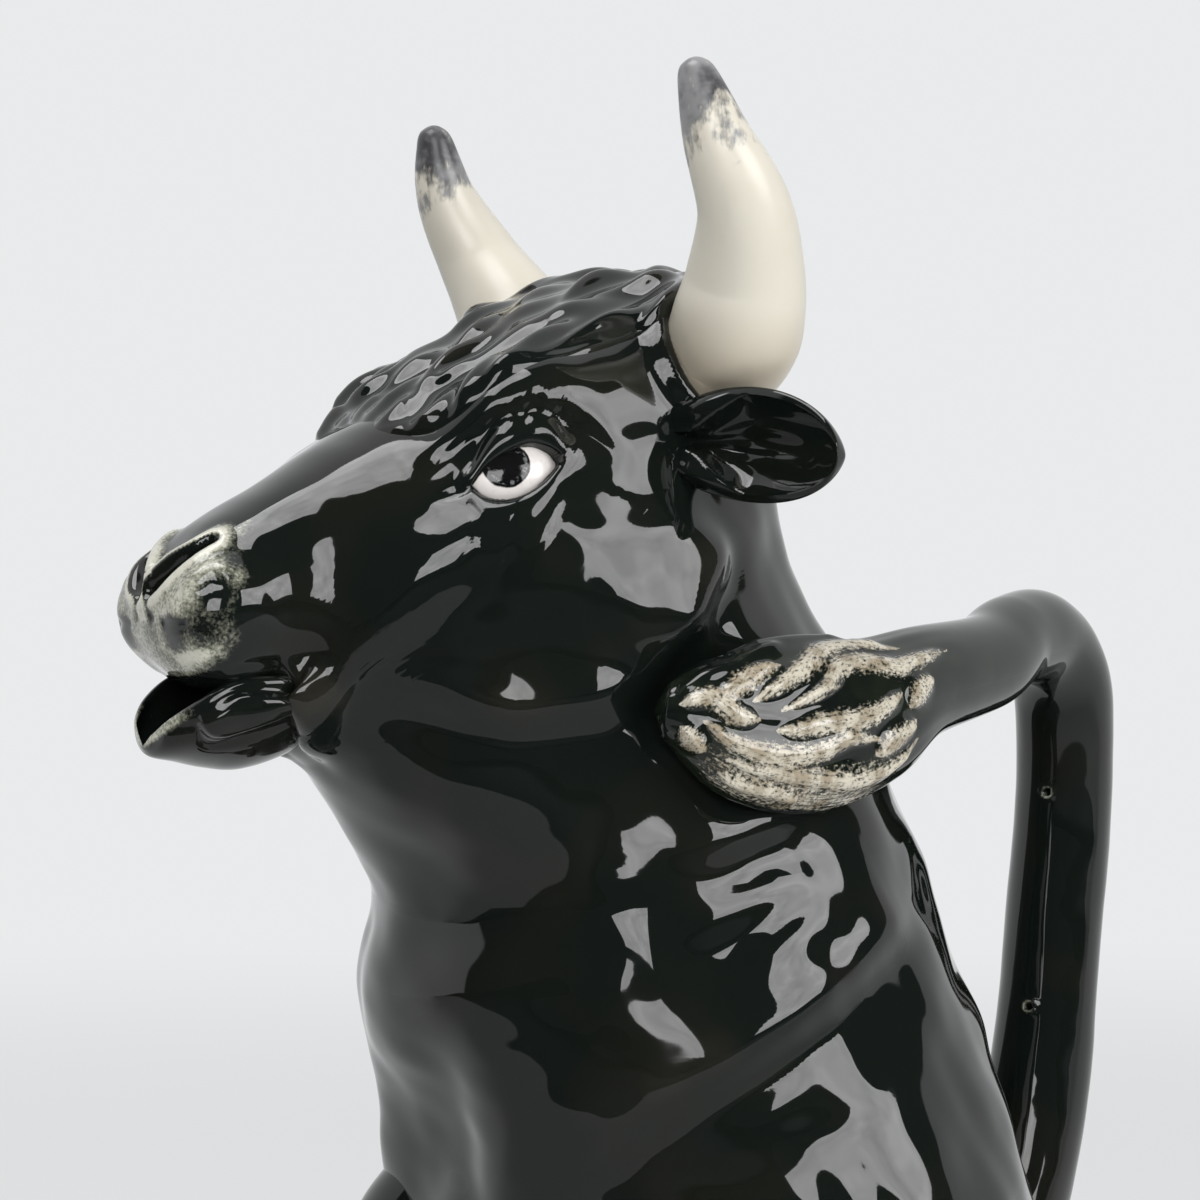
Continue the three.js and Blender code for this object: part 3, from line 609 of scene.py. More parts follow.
eye = dict(
    ring=15.52, turn=1.6, run=(14.0, -4.6, -4.1), half=(8.2, 6.1, 4.6), sink=3.3, irisAt=(1.5, 1.75),
    behindIris=20, length=7.5, upper=(4.2, 0.75), lower=(4.3, 0.8), lean=0.45, blend=1.2, near=14, away=60.0,
    rows=60, columns=120,
)
lids = dict(
    # hills outside the lids' edge as size, place and width
    upper=(1.35, 1.3, 1.9), lower=(0.85, 1.2, 1.7), crease=(0.4, 5.2, 1.8), pouch=(0.5, 5.4, 2.4), sink=2.6,
    sinkEdge=(-0.1, 0.9), cornerFade=(5, -2), smooth=0.75, slit=0.6, slitLow=0.4, slitSlope=0.06,
    slitWidth=1.0, slitStart=(-1.5, 1.5), slitEnd=(9, 2),
)
eyeAt = formAt(eye["ring"], eye["turn"])[0]
eyeOut = normalOf(loft, np.array([eye["ring"]]), np.array([eye["turn"]]))[0]
eyeRun = unit(np.array(eye["run"]) - eyeOut * np.dot(eye["run"], eyeOut))
eyeUp = np.cross(eyeRun, eyeOut)

jaw = dict(
    fore=(-10.5, -3, 4, 10, 15, 18.5, 19.8), under=(-6.0, -10.2, -12, -11.4, -10.2, -9.4, -8.2),
    rim=(2, 2.2, 2.4, 1.8, -1.2, -4, -6.2), half=(8.6, 13.4, 15.2, 14.0, 12, 7.5, 3), wall=2.4, fullWallAt=14,
    lobe=((-3.0, -0.6), (14.0, -2.4), 3.9, 1.6),  # its back point, its front, half height and lift
    lobeCurve=0.75, lobeNose=(0.8, 0.3), lobeStep=(-0.9, 0.7), lobeSwell=(0.35, 0.5, 3.4),
    lobeGroove=(0.3, -1.6, 0.9), rows=(90, 36), tipShare=0.14, arcs=(100, 14, 60), wallLeast=0.25,
    depthLeast=0.3, lobeSide=(4, 9), rimFade=2.4, wave=0.25, rollHeight=0.55, backPole=-4.0,
    frontPole=(0.3, -7.7), brush=0.62, brushFrom=(14.5, 19.5), brushDown=(-1.8, -0.2),
    # fillet on the throat: under and beside the jaw, its width, and where along x, y and z it fades
    fillet=(2.4, 6.6), filletWide=5.5, filletSide=(3, 10), filletBack=(68, 74), filletFront=(88, 83),
    filletTop=(147, 142),
)
jawCorner = np.array([84.6, 0, 139.3])

relief = dict(
    # steps: raised side, shares that fade at the ends, where it changes over, rise and drop with their widths
    jawStep=dict(
        curve=((11.36, 1.14), (10.94, 1.22), (10.44, 1.38), (10.06, 1.53), (9.68, 1.71), (9.51, 1.88),
               (9.63, 2.05), (9.81, 2.18), (10.36, 2.32), (11.86, 2.51), (12.16, 2.75)),
        side=1, ends=(0.14, 0.16), change=(-4, 5), rise=(2.3, 15), drop=(1.3, 7)),
    thighStep=dict(
        curve=((3.55, 2.57), (3.85, 2.43), (4.23, 2.25), (4.53, 2.07), (4.85, 1.84), (5.31, 1.57),
               (5.81, 1.26), (5.98, 1.1), (6.2, 0.9)),
        side=-1, ends=(0.2, 0.2), change=(-4.5, 5.5), rise=(2.4, 15), drop=(0.9, 6)),
    browStep=dict(
        curve=((17.97, 1.17), (17.52, 1.09), (16.84, 1.11), (15.94, 1.21), (14.71, 1.44), (13.36, 1.57)),
        side=-1, ends=(0.25, 0.35), change=(-1.8, 2.4), rise=(0.9, 8), drop=(0.8, 3.4)),
    # creases: share that fades at both ends, the ridge's size, place and width, the groove's size and width
    folds=(((7.48, 1.16), (7.28, 1.49), (7.08, 1.77), (6.81, 1.93)),
           ((6.93, 1.21), (6.53, 1.54), (6.16, 1.79), (5.76, 1.95)),
           ((6.43, 1.18), (6.03, 1.46), (5.53, 1.73), (5.1, 1.93))),
    foldCrease=dict(end=0.4, ridge=(1.05, 6.5, 4.6), groove=(1.05, 4.4)),
    crescent=((22.65, 0.92), (22.2, 0.95), (21.97, 1.01), (21.77, 1.25)),
    crescentCrease=dict(end=0.3, ridge=(0.5, -2.4, 1.9), groove=(0.7, 1.6)),
    slits=(((23.5, 0.5), (23.3, 0.88)), ((22.77, 0.08), (23.42, 0.22))), slitDepth=0.5, slitWidth=0.9,
    nostril=((22.72, 0.14), (22.5, 0.24), (22.12, 0.37), (21.75, 0.5), (21.32, 0.57)),
    nostrilHalf=(1.25, 1.6, 1.55, 1.1, 0.6), nostrilRim=(1.15, 0.9), rimOut=(1.3, 1.1), rimWidth=1.4, pit=2.9,
    pitEdge=(1.35, 0.3), lipLines=((-0.5, 3.2, 0.9), (-0.3, 5.6, 1.0), (0.3, 1.4, 1.2)), lipReach=12,
    lipBack=(99, 92), lipSamples=240,
    waves=((26, 0.5, 9), (15, 0.2, 8), (8.5, 0.06, 7)), waveSpread=(0.8, 1.3),  # length, size, count
    worn=(1.2, 3.0),
)


# Hand-worked unevenness: plane waves in seeded directions, each a sine of the distance along its direction.
def handWaves(points):
    dice.bit_generator.state = waveSeed
    height = 0.0
    for length, size, count in relief["waves"]:
        runs = unit(dice.normal(size=(count, 3)))
        starts = dice.uniform(0, 2 * np.pi, count)
        lengths = length * dice.uniform(*relief["waveSpread"], count)
        phase = points @ runs.T * (2 * np.pi / lengths) + starts
        height = height + np.sin(phase).sum(-1) * size / np.sqrt(count)
    return height


# Distance outside the lids' almond, how much a point belongs to the upper lid, and its place along and over
# the eye.
def lidPlace(points):
    d = points - eyeAt
    b = d @ eyeUp
    a = d @ eyeRun + eye["lean"] * b
    t = np.clip(1 - (a / eye["length"]) ** 2, 0, None)
    (high, highPower), (low, lowPower) = eye["upper"], eye["lower"]
    edge = np.where(b > 0, high * t**highPower, low * t**lowPower)
    toEnd = np.clip(np.abs(a) / eye["length"], 0, 1)
    slope = 1 + 2 * toEnd * (1 - toEnd)
    outside = (np.abs(b) - edge) / slope
    past = np.clip(np.abs(a) - eye["length"], 0, None)
    outside = np.where(past > 0, np.hypot(np.abs(b), past), outside)
    near = np.abs(d @ eyeOut) < eye["near"]
    return np.where(near, outside, eye["away"]), ramp(b, -eye["blend"], eye["blend"]), a, b


# Lids: a smooth band round the eye, a crease over the upper one, a pouch under the lower one, a slit at the
# front corner, and the skin sunk inside them. Gives the height and how far inside the lids a point is.
def lidForm(half):
    outside, upper, a, b = lidPlace(half)
    inside = ramp(-outside, *lids["sinkEdge"])
    over = hill(outside, *lids["upper"]) - hill(outside, *lids["crease"])
    below = hill(outside, *lids["lower"]) + hill(outside, *lids["pouch"])
    corner = ramp(np.abs(a) - eye["length"], *lids["cornerFade"])
    ahead = a - eye["length"]
    slit = bell(b + lids["slitLow"] - lids["slitSlope"] * ahead, lids["slitWidth"]) * (outside < eye["away"])
    slit = slit * ramp(ahead, *lids["slitStart"]) * ramp(ahead, *lids["slitEnd"])
    return corner * (upper * over + (1 - upper) * below) - lids["sink"] * inside - lids["slit"] * slit, inside


# a step along a curve: raised on one side of it, sunk on the other
def stepForm(half, curve, side, ends, change, rise, drop):
    far, share, signed = nearCurve(half, skinCurve(curve))
    raised = ramp(side * signed, *change)
    upper, lower = raised * rise[0] * bell(far, rise[1]), (1 - raised) * drop[0] * bell(far, drop[1])
    return held(share, *ends) * (upper - lower)


# a crease along a curve: a groove on it and a ridge beside it
def creaseForm(half, curve, end, ridge, groove):
    far, share, signed = nearCurve(half, skinCurve(curve))
    return held(share, end, end) * (hill(signed, *ridge) - groove[0] * bell(far, groove[1]))


# nostril: a pit as wide as its own half widths, inside a raised rim that is higher above it
def nostrilForm(half):
    far, share, signed = nearCurve(half, skinCurve(relief["nostril"]))
    width = threaded(relief["nostrilHalf"], share)
    wider, beyond = relief["rimOut"]
    outer, inner = relief["pitEdge"]
    rim = np.where(signed < 0, *relief["nostrilRim"]) * bell(far - width * wider - beyond, relief["rimWidth"])
    return rim - relief["pit"] * ramp(far, width * outer, width * inner)


# distance outside the lower jaw, its half oval section taken as round
def jawGap(points):
    x, z = points[..., 0] - jawCorner[0], points[..., 2] - jawCorner[2]
    half, rim, under = (np.interp(x, jaw["fore"], jaw[k]) for k in ("half", "rim", "under"))
    return (np.hypot(points[..., 1] / half, np.minimum(z - rim, 0) / (rim - under)) - 1) * half


# slip smoothed into the corner between the throat and the jaw: a bell of the distance to the jaw
def filletForm(half):
    x, y, z = half[..., 0], half[..., 1], half[..., 2]
    reach = ramp(x, *jaw["filletBack"]) * ramp(x, *jaw["filletFront"]) * ramp(z, *jaw["filletTop"])
    under, beside = jaw["fillet"]
    size = under + (beside - under) * ramp(y, *jaw["filletSide"])
    return size * reach * bell(jawGap(half), jaw["filletWide"])


lipTurns = np.linspace(0, np.pi, relief["lipSamples"])
mouthCurve = form(np.full(len(lipTurns), float(bull["mouthRing"])), lipTurns)


# lips: two creases and a swell at distances from the mouth's edge
def lipForm(half):
    rim = nearCurve(half, mouthCurve, relief["lipReach"])[0]
    return ramp(half[..., 0], *relief["lipBack"]) * sum(hill(rim, *line) for line in relief["lipLines"])


# A collar round the horn's foot and a seat under it. Gives the height and the distance outside the horn.
def collarForm(half):
    shares = np.linspace(0, horn["collarTo"], horn["collarSamples"])
    axis, wide = threaded(hornPoints, shares), threaded(horn["radius"], shares)
    gap = (half**2).sum(-1)[..., None] - 2 * half @ axis.T + (axis**2).sum(-1)
    gap = np.min(np.sqrt(np.maximum(gap, 0)) - wide, axis=-1)
    return hill(gap, *horn["collar"]) - horn["seat"] * ramp(gap, *horn["seatEdge"]), gap


# All small forms on the skin, worked out on the left and shared by both sides, and the waves, which aren't.
def smallForms(points):
    half = leftSide(points)
    lidded, inside = lidForm(half)
    collared, gap = collarForm(half)
    height = lidded + collared + nostrilForm(half) + filletForm(half) + lipForm(half)
    for name in ("jawStep", "thighStep", "browStep"):
        height += stepForm(half, **relief[name])
    for fold in relief["folds"]:
        height += creaseForm(half, fold, **relief["foldCrease"])
    height += creaseForm(half, relief["crescent"], **relief["crescentCrease"])
    for slit in relief["slits"]:
        height -= relief["slitDepth"] * bell(nearCurve(half, skinCurve(slit))[0], relief["slitWidth"])
    return height + handWaves(points) * ramp(gap, *horn["wavesFrom"]) * (1 - lids["smooth"] * inside)


# the finished skin: the large form raised by the small forms along its own normal, and how much it was raised
def skin(u, v):
    p = form(u, v)
    height = smallForms(p)
    return p + normalOf(form, u, v) * height[..., None], height


# raised edges where the glaze wears thin
def wornEdges(height):
    return ramp(height, *relief["worn"])


# turns round a ring: drawn together at the sides where the eyes are, or at the crown where the nostrils are
# if drawn < 0
def turnsRound(count, drawn=bull["drawnIn"]):
    t = np.linspace(0, 2 * np.pi, count + 1)
    return t + drawn * np.sin(2 * t)


# inner wall: the loft set in by the wall, pressed in where the skin is pressed in
def innerSkin(u, v, inset):
    pressed = np.minimum(moundHeight(loft(u, v)), 0)
    return loft(u, v, inset) + normalOf(loft, u, v) * pressed[..., None]


# half round edge between an outer and an inner row, bulging along out by swell
def rolledEdge(outer, inner, out, swell, count=8):
    a = np.linspace(0, np.pi, count)[:, None, None]
    return (outer + inner) / 2 + (outer - inner) / 2 * np.cos(a) + out * swell * np.sin(a)


muzzle = dict(
    # the sponged patch's edge, its brighter strokes, and its darker dabs as ring, turn, radius and strength
    edge=((20.59, 0.65), (20.85, 0.99), (21.82, 1.34), (22.72, 1.65), (24.35, 1.26), (25.37, 0.14)),
    strokes=(((24.7, 0.35), (24.45, 0.65), (23.9, 1.16), (23.25, 1.46)),
             ((22.95, 0.1), (23.35, 0.06), (23.75, 0.02))),
    dabs=((21.07, 0.84, 4.4, 0.42), (22.85, 1.26, 5.0, 0.36), (23.75, 0.68, 3.4, 0.4),
          (22.12, 1.06, 3.4, 0.42)),
    base=0.56, edgeFade=(-1.5, 2.5), backFade=(86, 90), farFade=(900, 800), reach=30, strokeReach=20,
    topFade=(5.7, 3.2), rimOut=(1.4, 1.3), rimWidth=1.5, rimFade=(89, 93), stroke=0.92, strokeEdge=(2.9, 0.2),
    strokeEnd=0.4, dabEdge=(1.3, 0.4), dabFrom=(2.0, 4.2), slit=0.7, slitWidth=0.9, bare=1.6,
    bareEdge=(0.6, -0.4), bareOut=((1.4, 0.45), (1.05, 0.1)),
)


# Amount of sponged paint: even inside the patch's edge, gone above the nostril's rim and inside it, more on
# the rim and the strokes, thinner in the dabs and slits. The bare hole is wider on one side of the middle
# stroke.
def muzzlePaint(points):
    m = muzzle
    half = leftSide(points)
    far, share, signed = nearCurve(half, skinCurve(m["edge"]), m["reach"])
    paint = m["base"] * ramp(signed, *m["edgeFade"]) * ramp(half[..., 0], *m["backFade"])
    paint = paint * ramp(far, *m["farFade"])
    hole, share, signed = nearCurve(half, skinCurve(relief["nostril"]), m["reach"])
    width = threaded(relief["nostrilHalf"], share)
    paint = paint * np.where(signed < 0, ramp(hole, *m["topFade"]), 1.0)
    wider, beyond = m["rimOut"]
    rim = bell(hole - width * wider - beyond, m["rimWidth"]) * ramp(half[..., 0], *m["rimFade"])
    paint = np.maximum(paint, rim)
    for stroke in m["strokes"]:
        far, share, strokeSide = nearCurve(half, skinCurve(stroke), m["strokeReach"])
        ends = held(share, m["strokeEnd"], m["strokeEnd"])
        paint = np.maximum(paint, m["stroke"] * ramp(far, *m["strokeEdge"]) * ends)
    outer, inner = m["dabEdge"]
    for ring, turn, radius, strength in m["dabs"]:
        away = np.linalg.norm(half - formAt(ring, turn)[0], axis=-1)
        paint = paint - strength * ramp(away, radius * outer, radius * inner) * ramp(hole, *m["dabFrom"])
    for slit in relief["slits"]:
        away = nearCurve(half, skinCurve(slit), m["strokeReach"])[0]
        paint = paint - m["slit"] * bell(away, m["slitWidth"])
    edge = np.where(strokeSide < 0, *(share * width + more for share, more in m["bareOut"]))
    outer, inner = m["bareEdge"]
    return np.clip(paint - m["bare"] * ramp(hole, edge + outer, edge + inner), 0, 1)


fill = dict(ring=11.5, reach=1.05, turn=0.42, rows=30, roll=1.5)


# rows of rings up the head: even on the neck, bunched at the fill oval's ends, then closer where there is
# detail
def headRows():
    low, high = fill["ring"] - fill["reach"], fill["ring"] + fill["reach"]
    oval = fill["ring"] - fill["reach"] * np.cos(np.linspace(0, np.pi, fill["rows"]))
    lower = np.linspace(bull["jointRing"], low, bull["neckRows"])[:-1]
    knots = np.array([high, *bull["headKnots"]])
    weight = np.r_[0, np.cumsum(np.diff(knots) * np.array(bull["rowWeights"]))]
    rest = bull["headRows"] - len(lower) - fill["rows"]
    upper = np.interp(np.linspace(0, weight[-1], rest + 1), weight, knots)[1:]
    return np.concatenate([lower, oval, upper]), len(lower)


# Head: outer skin from the joint to the lips, a rolled lip, then the inner wall back down, as one closed
# tube. The nape's seam is opened into an oval and its edge rolled too.
def headPiece():
    rows, first = headRows()
    last = first + fill["rows"]
    drawn = bull["drawnIn"] - bull["drawnAtNose"] * ramp(rows, *bull["noseFrom"])
    t = turnsRound(bull["columns"], drawn[:, None])
    opened = fill["turn"] * np.sqrt(np.clip(1 - ((rows - fill["ring"]) / fill["reach"]) ** 2, 0, None))
    v = opened[:, None] + t * (1 - opened[:, None] / np.pi)
    u = np.broadcast_to(rows[:, None], v.shape)
    outer, height = skin(u, v)
    neckStep, faceStep = bull["innerSteps"]
    keep = np.unique(np.r_[0:first:neckStep, first:last, last:len(rows):faceStep, len(rows) - 1])
    inset = bull["wall"] * (1 - bull["lipThin"] * ramp(rows[keep], *bull["lipFrom"]))
    inner = innerSkin(u[keep], v[keep], inset[:, None])
    lip = rolledEdge(outer[-1], inner[-1], unit(outer[-1] - outer[-3]), bull["lipSwell"])
    hole = np.arange(first, last)
    holeIn = np.searchsorted(keep, hole)
    middle = outer[hole, 0].mean(0)
    edges = []
    for column, flip in ((0, True), (-1, False)):
        a, b = outer[hole, column], inner[holeIn, column]
        toward = middle - (a + b) / 2
        wallRun = unit(a - b)
        toward = unit(toward - wallRun * (toward * wallRun).sum(-1)[:, None])
        edges.append((rolledEdge(a, b, toward, fill["roll"]), False, flip, 0))
    joint = np.stack([inner[0], outer[0]])
    grids = [(grid, False, grid is inner, 0) for grid in (outer, lip, inner, joint)] + edges
    plain = [grid[0][..., 0] * 0 for grid in grids[1:]]
    marks = {"brush": [muzzlePaint(outer)] + plain, "worn": [wornEdges(height)] + plain}
    settle(makePiece("head", grids, [glaze], marks), "black_glaze", "head_shell")


foot = dict(
    hollow=1.2, ringIn=0.885, ringOut=0.972, step=0.012, edge=(0.99, 0.25), underShares=(0, 0.3, 0.6),
    floorShares=(0.97, 0.6, 0.0), floorDrops=(0.6, 0.8, 0.8),
)


# Body: from the middle of the foot out over a bare foot ring, up the skin to the joint, and back down the
# inner wall.
def bodyPiece():
    t = turnsRound(bull["columns"])
    rows = np.linspace(bull["bodyFrom"], bull["jointRing"], bull["bodyRows"])
    v = np.broadcast_to(t, (len(rows), len(t)))
    outer, height = skin(np.broadcast_to(rows[:, None], v.shape), v)
    edgeShare, edgeLift = foot["edge"]
    inside, outside = foot["ringIn"], foot["ringOut"]
    shares = np.array([*foot["underShares"], inside - foot["step"], inside, outside, edgeShare])
    under = loft(np.zeros(len(t)), t) * shares[:, None, None]
    under[..., 2] = np.array([foot["hollow"]] * 4 + [0, 0, edgeLift])[:, None]
    innerRows = np.linspace(bull["jointRing"], bull["floor"] / rings[1, 1], bull["innerRows"])
    iv = np.broadcast_to(t, (len(innerRows), len(t)))
    inner = innerSkin(np.broadcast_to(innerRows[:, None], iv.shape), iv, bull["wall"])
    middle = inner[-1].mean(0)
    floor = middle + (inner[-1] - middle) * np.array(foot["floorShares"])[:, None, None]
    floor[..., 2] -= np.array(foot["floorDrops"])[:, None]
    whole = np.concatenate([under, outer, inner, floor])
    bare = np.zeros(len(whole) - 1, int)
    bare[: len(under) - 1] = 1
    worn = np.concatenate([under[..., 0] * 0, wornEdges(height), inner[..., 0] * 0, floor[..., 0] * 0])
    piece = makePiece("body", [(whole, False, False, bare)], [glaze, clay], {"worn": [worn]})
    settle(piece, "black_glaze", "body_shell")


print("casting the body and the head")
bodyPiece()
headPiece()


def closedEnds(grid, startPole, endPole):
    first = np.broadcast_to(startPole, grid[:1].shape)
    last = np.broadcast_to(endPole, grid[:1].shape)
    return np.concatenate([first, grid, last])


# the same closed grid for both sides: the right one is the left one mirrored, its faces turned round
def pairOfPieces(name, node, grid, flip, material, slotName, marks=None):
    for side, sign in (("left", 1), ("right", -1)):
        turned = (grid * np.array([1, sign, 1]), True, flip == (sign > 0), 0)
        settle(makePiece(side + name, [turned], [material], marks), slotName, side + "_" + node)


# Horns: a round section on the horn's path, closed by a rounded tip: radius the root of the length left times
# tipRound.
def hornPieces():
    share = roundedShares(0, 1 - horn["tipShare"], horn["tipShare"], *horn["rows"])
    path = threaded(hornPoints, share)
    left = np.linalg.norm(path - path[-1], axis=1)
    thick = threaded(horn["radius"], share) + horn["tipThick"] * ramp(share, *horn["tipFrom"])
    radius = np.minimum(thick, np.sqrt(left * horn["tipRound"]))
    run, face = unit(np.gradient(path, axis=0)), np.array([1.0, 0, 0])
    out = unit(face - run * (run @ face)[:, None])
    turns = circle(horn["columns"])[None, :, None]
    lean = np.cross(run, out)[:, None] * np.cos(turns) + out[:, None] * np.sin(turns)
    grid = path[:, None] + lean * radius[:, None, None]
    waved = horn["wave"] * handWaves(grid) * ramp(left, 0, horn["waveFrom"])[:, None]
    grid = closedEnds(grid + lean * waved[..., None], path[0], path[-1])
    along = np.broadcast_to(np.r_[0, share, 1][:, None], grid.shape[:2])
    level = np.r_[path[:1], path, path[-1:]][:, None, 2]
    # how far below the horn's axis a point lies: the mask for the painted shade under the horn's foot
    under = np.clip(0.5 - (grid[..., 2] - level) / horn["underReach"], 0, 1)
    pairOfPieces("Horn", "horn", grid, True, hornGlaze, "ivory_glaze", {"along": [along], "under": [under]})


print("setting the horns, ears and eyes")
hornPieces()

ear = dict(
    ring=12.9, turn=1.31, aim=(-0.37, 0.93, -0.05), length=30.5, half=9.3, root=0.34, rootHalf=6.6,
    rootTo=0.2, widest=0.41, leaf=0.6105, taper=(0.1, 0.4), cup=4.6, back=4.2, rim=1.45, droop=1.6,
    forward=1.5, opening=(0.2, 0.66, 0.02, 0.42), shallow=(0.55, 0.35, 1.0),
    ridgeEnds=((0.03, 0.2), (0.88, 0.5)),
    ridges=((-0.3, 0.2, 0.95), (0.35, 0.18, 0.6)),  # place across the hollow, half width, height
    lobes=((-0.72, 1.7), (0.72, 1.1)), lobeWide=0.26, lobeAt=(0.1, 0.22),  # place across the leaf, height
    rimThin=0.35, rootThick=(0.9, 0.35, 0.05), poles=(1.5, 0.2), hollowCurve=(2.2, 0.8), ridgeCurve=0.5,
    backCurve=0.7, tipFrom=0.9, tipShare=0.12, rows=(90, 30), columns=120,
)


# Ears: across the leaf w runs from rim to rim; the front is a hollow that narrows to a cleft at the root,
# with ridges running out of it and a lobe on either side, the back is a low arch, and the rim is rolled.
def earPieces():
    e = ear
    aim = unit(np.array(e["aim"]))
    front = unit(np.cross(aim, np.array([0, 0, 1.0])))
    up = np.cross(front, aim)
    s = roundedShares(-e["root"], e["tipFrom"], e["tipShare"], *e["rows"])
    start = formAt(e["ring"], e["turn"])[0]
    path = start + aim * (s * e["length"])[:, None]
    path = path - up * (e["droop"] * s**2)[:, None] + front * (e["forward"] * s**2)[:, None]
    growth, growthFrom = e["taper"]
    leaf = np.sqrt(np.clip(1 - ((s - e["widest"]) / e["leaf"]) ** 2, 0, None))
    half = e["half"] * leaf * (1 + growth * (s - growthFrom))
    half = np.where(s < e["rootTo"], np.maximum(half, e["rootHalf"]), half)
    turns = circle(e["columns"])
    w, lift = np.cos(turns)[None], np.sin(turns)[None]
    body, s = (half / e["half"])[:, None], s[:, None]
    narrow, wider, *openFrom = e["opening"]
    opening = narrow + wider * ramp(s, *openFrom)
    less, *lessFrom = e["shallow"]
    depth = e["cup"] * body * (1 - less * ramp(s, *lessFrom))
    steep, ease = e["hollowCurve"]
    hollow = np.clip(1 - (np.abs(w) / opening) ** steep, 0, None) ** ease
    ridgeStart, ridgeEnd = e["ridgeEnds"]
    length = ramp(s, *ridgeStart) * ramp(s, *ridgeEnd) * hollow ** e["ridgeCurve"]
    fan = length * sum(high * bell(w / opening - at, wide) for at, wide, high in e["ridges"])
    lobeAt, lobeLong = e["lobeAt"]
    lobes = sum(high * bell(w - at, e["lobeWide"]) for at, high in e["lobes"])
    fan = fan + lobes * bell(s - lobeAt, lobeLong)
    more, *moreFrom = e["rootThick"]
    rolled = lift * e["rim"] * (e["rimThin"] + (1 - e["rimThin"]) * body) * (1 + more * ramp(s, *moreFrom))
    backSide = lift * e["rim"] - e["back"] * body * (1 - w**2) ** e["backCurve"]
    rise = np.where(lift > 0, rolled - depth * hollow + fan, backSide)
    rise = np.where(np.abs(w) > 1 - 1e-9, 0, rise)
    grid = path[:, None] + up * (half[:, None] * w)[..., None] + front * rise[..., None]
    rootPole, tipPole = e["poles"]
    grid = closedEnds(grid, path[0] - front * rootPole, path[-1] - front * tipPole)
    pairOfPieces("Ear", "ear", grid, True, glaze, "black_glaze")


earPieces()


# Eyes: a lens, its points marked with their distance from the iris and from the lids.
def eyePieces():
    a, t = np.linspace(0, np.pi, eye["rows"])[:, None], circle(eye["columns"])[None]
    long, high, deep = eye["half"]
    x, y = np.sin(a) * np.cos(t) * long, np.sin(a) * np.sin(t) * high
    z = np.cos(a) * deep + 0 * t - eye["sink"]
    grid = eyeAt + x[..., None] * eyeRun + y[..., None] * eyeUp + z[..., None] * eyeOut
    irisX, irisY = eye["irisAt"]
    irisFar = np.hypot(x - irisX, y - irisY) + eye["behindIris"] * (z < -eye["sink"])
    marks = {"irisFar": [irisFar], "lidFar": [lidPlace(grid)[0]]}
    pairOfPieces("Eye", "eye", grid, False, eyePaint, "eye_glaze", marks)


eyePieces()

forelock = dict(
    rows=(13.1, 18.6), spread=1.02, lift=3.5, pad=0.35, stepAlong=9.6, stepAcross=8.4, long=(6.5, 9.5),
    wide=(3.4, 4.8), sway=0.85, bend=0.07, strong=(0.45, 0.95), stray=(1.8, 1.3), fanOut=0.016, taper=0.45,
    taperEnds=(0.3, 1.5), sharp=2.0, ringLength=11.5, turnLength=33, outline=(1.08, 3.4, 0.6),
    fades=(0.2, 0.1, 0.2), sunkEdge=0.6, under=1.4, locksAlong=(-1, 8), locksAcross=(-6, 7), narrowest=0.02,
    padEase=0.7, locksFade=1.6, sunkTo=0.25, rowCount=190, columnCount=180,
)


# Forelock: a pad on the poll raised by many bent teardrop bells, one for each lock of hair. Locks join as
# 1 - (1 - a)(1 - b).
def forelockPiece():
    f = forelock
    a, c = np.linspace(0, 1, f["rowCount"])[:, None], np.linspace(-1, 1, f["columnCount"])[None]
    low, high = f["rows"]
    u = low + (high - low) * a + 0 * c
    lengthwise, power, ease = f["outline"]
    v = c * (f["spread"] * np.clip(1 - np.abs(2 * a - lengthwise) ** power, f["narrowest"], None) ** ease)
    x, y = f["ringLength"] * (u - low), f["turnLength"] * v
    strayX, strayY = f["stray"]
    dice.bit_generator.state = waveSeed
    left = np.ones_like(x)
    for i in range(*f["locksAlong"]):
        for j in range(*f["locksAcross"]):
            px = f["stepAlong"] * (i + 0.5 * (j % 2)) + dice.uniform(-strayX, strayX)
            py = f["stepAcross"] * j + dice.uniform(-strayY, strayY)
            turn = f["fanOut"] * py + dice.uniform(-f["sway"], f["sway"])
            bend = dice.uniform(-f["bend"], f["bend"])
            long, wide, lift = dice.uniform(*f["long"]), dice.uniform(*f["wide"]), dice.uniform(*f["strong"])
            along = (x - px) * np.cos(turn) + (y - py) * np.sin(turn)
            over = -(x - px) * np.sin(turn) + (y - py) * np.cos(turn) - bend * along**2
            taper = np.clip(1 - f["taper"] * along / long, *f["taperEnds"])
            lock = np.exp(-f["sharp"] * ((along / long) ** 2 + (over / (wide * taper)) ** 2))
            left = left * (1 - lift * lock)
    sides, back, front = f["fades"]
    fade = ramp(1 - np.abs(c), 0, sides) * ramp(a, 0, back) * ramp(1 - a, 0, front)
    rise = fade ** f["padEase"] * f["pad"] + np.minimum(fade * f["locksFade"], 1) * f["lift"] * (1 - left)
    rise = rise - f["sunkEdge"] * (1 - ramp(fade, 0, f["sunkTo"]))
    seat, out = skin(u, v)[0], normalOf(form, u, v)
    top, bottom = seat + out * rise[..., None], seat - out * f["under"]
    rim = [np.stack([top[0], bottom[0]]), np.stack([bottom[-1], top[-1]]),
           np.stack([bottom[:, 0], top[:, 0]]), np.stack([top[:, -1], bottom[:, -1]])]
    grids = [(top, False, False, 0), (bottom, False, True, 0)] + [(r, False, True, 0) for r in rim]
    worn = [wornEdges(rise)] + [grid[0][..., 0] * 0 for grid in grids[1:]]
    settle(makePiece("forelockHair", grids, [glaze], {"worn": worn}, crease=80), "black_glaze", "forelock")


print("combing the forelock")
forelockPiece()

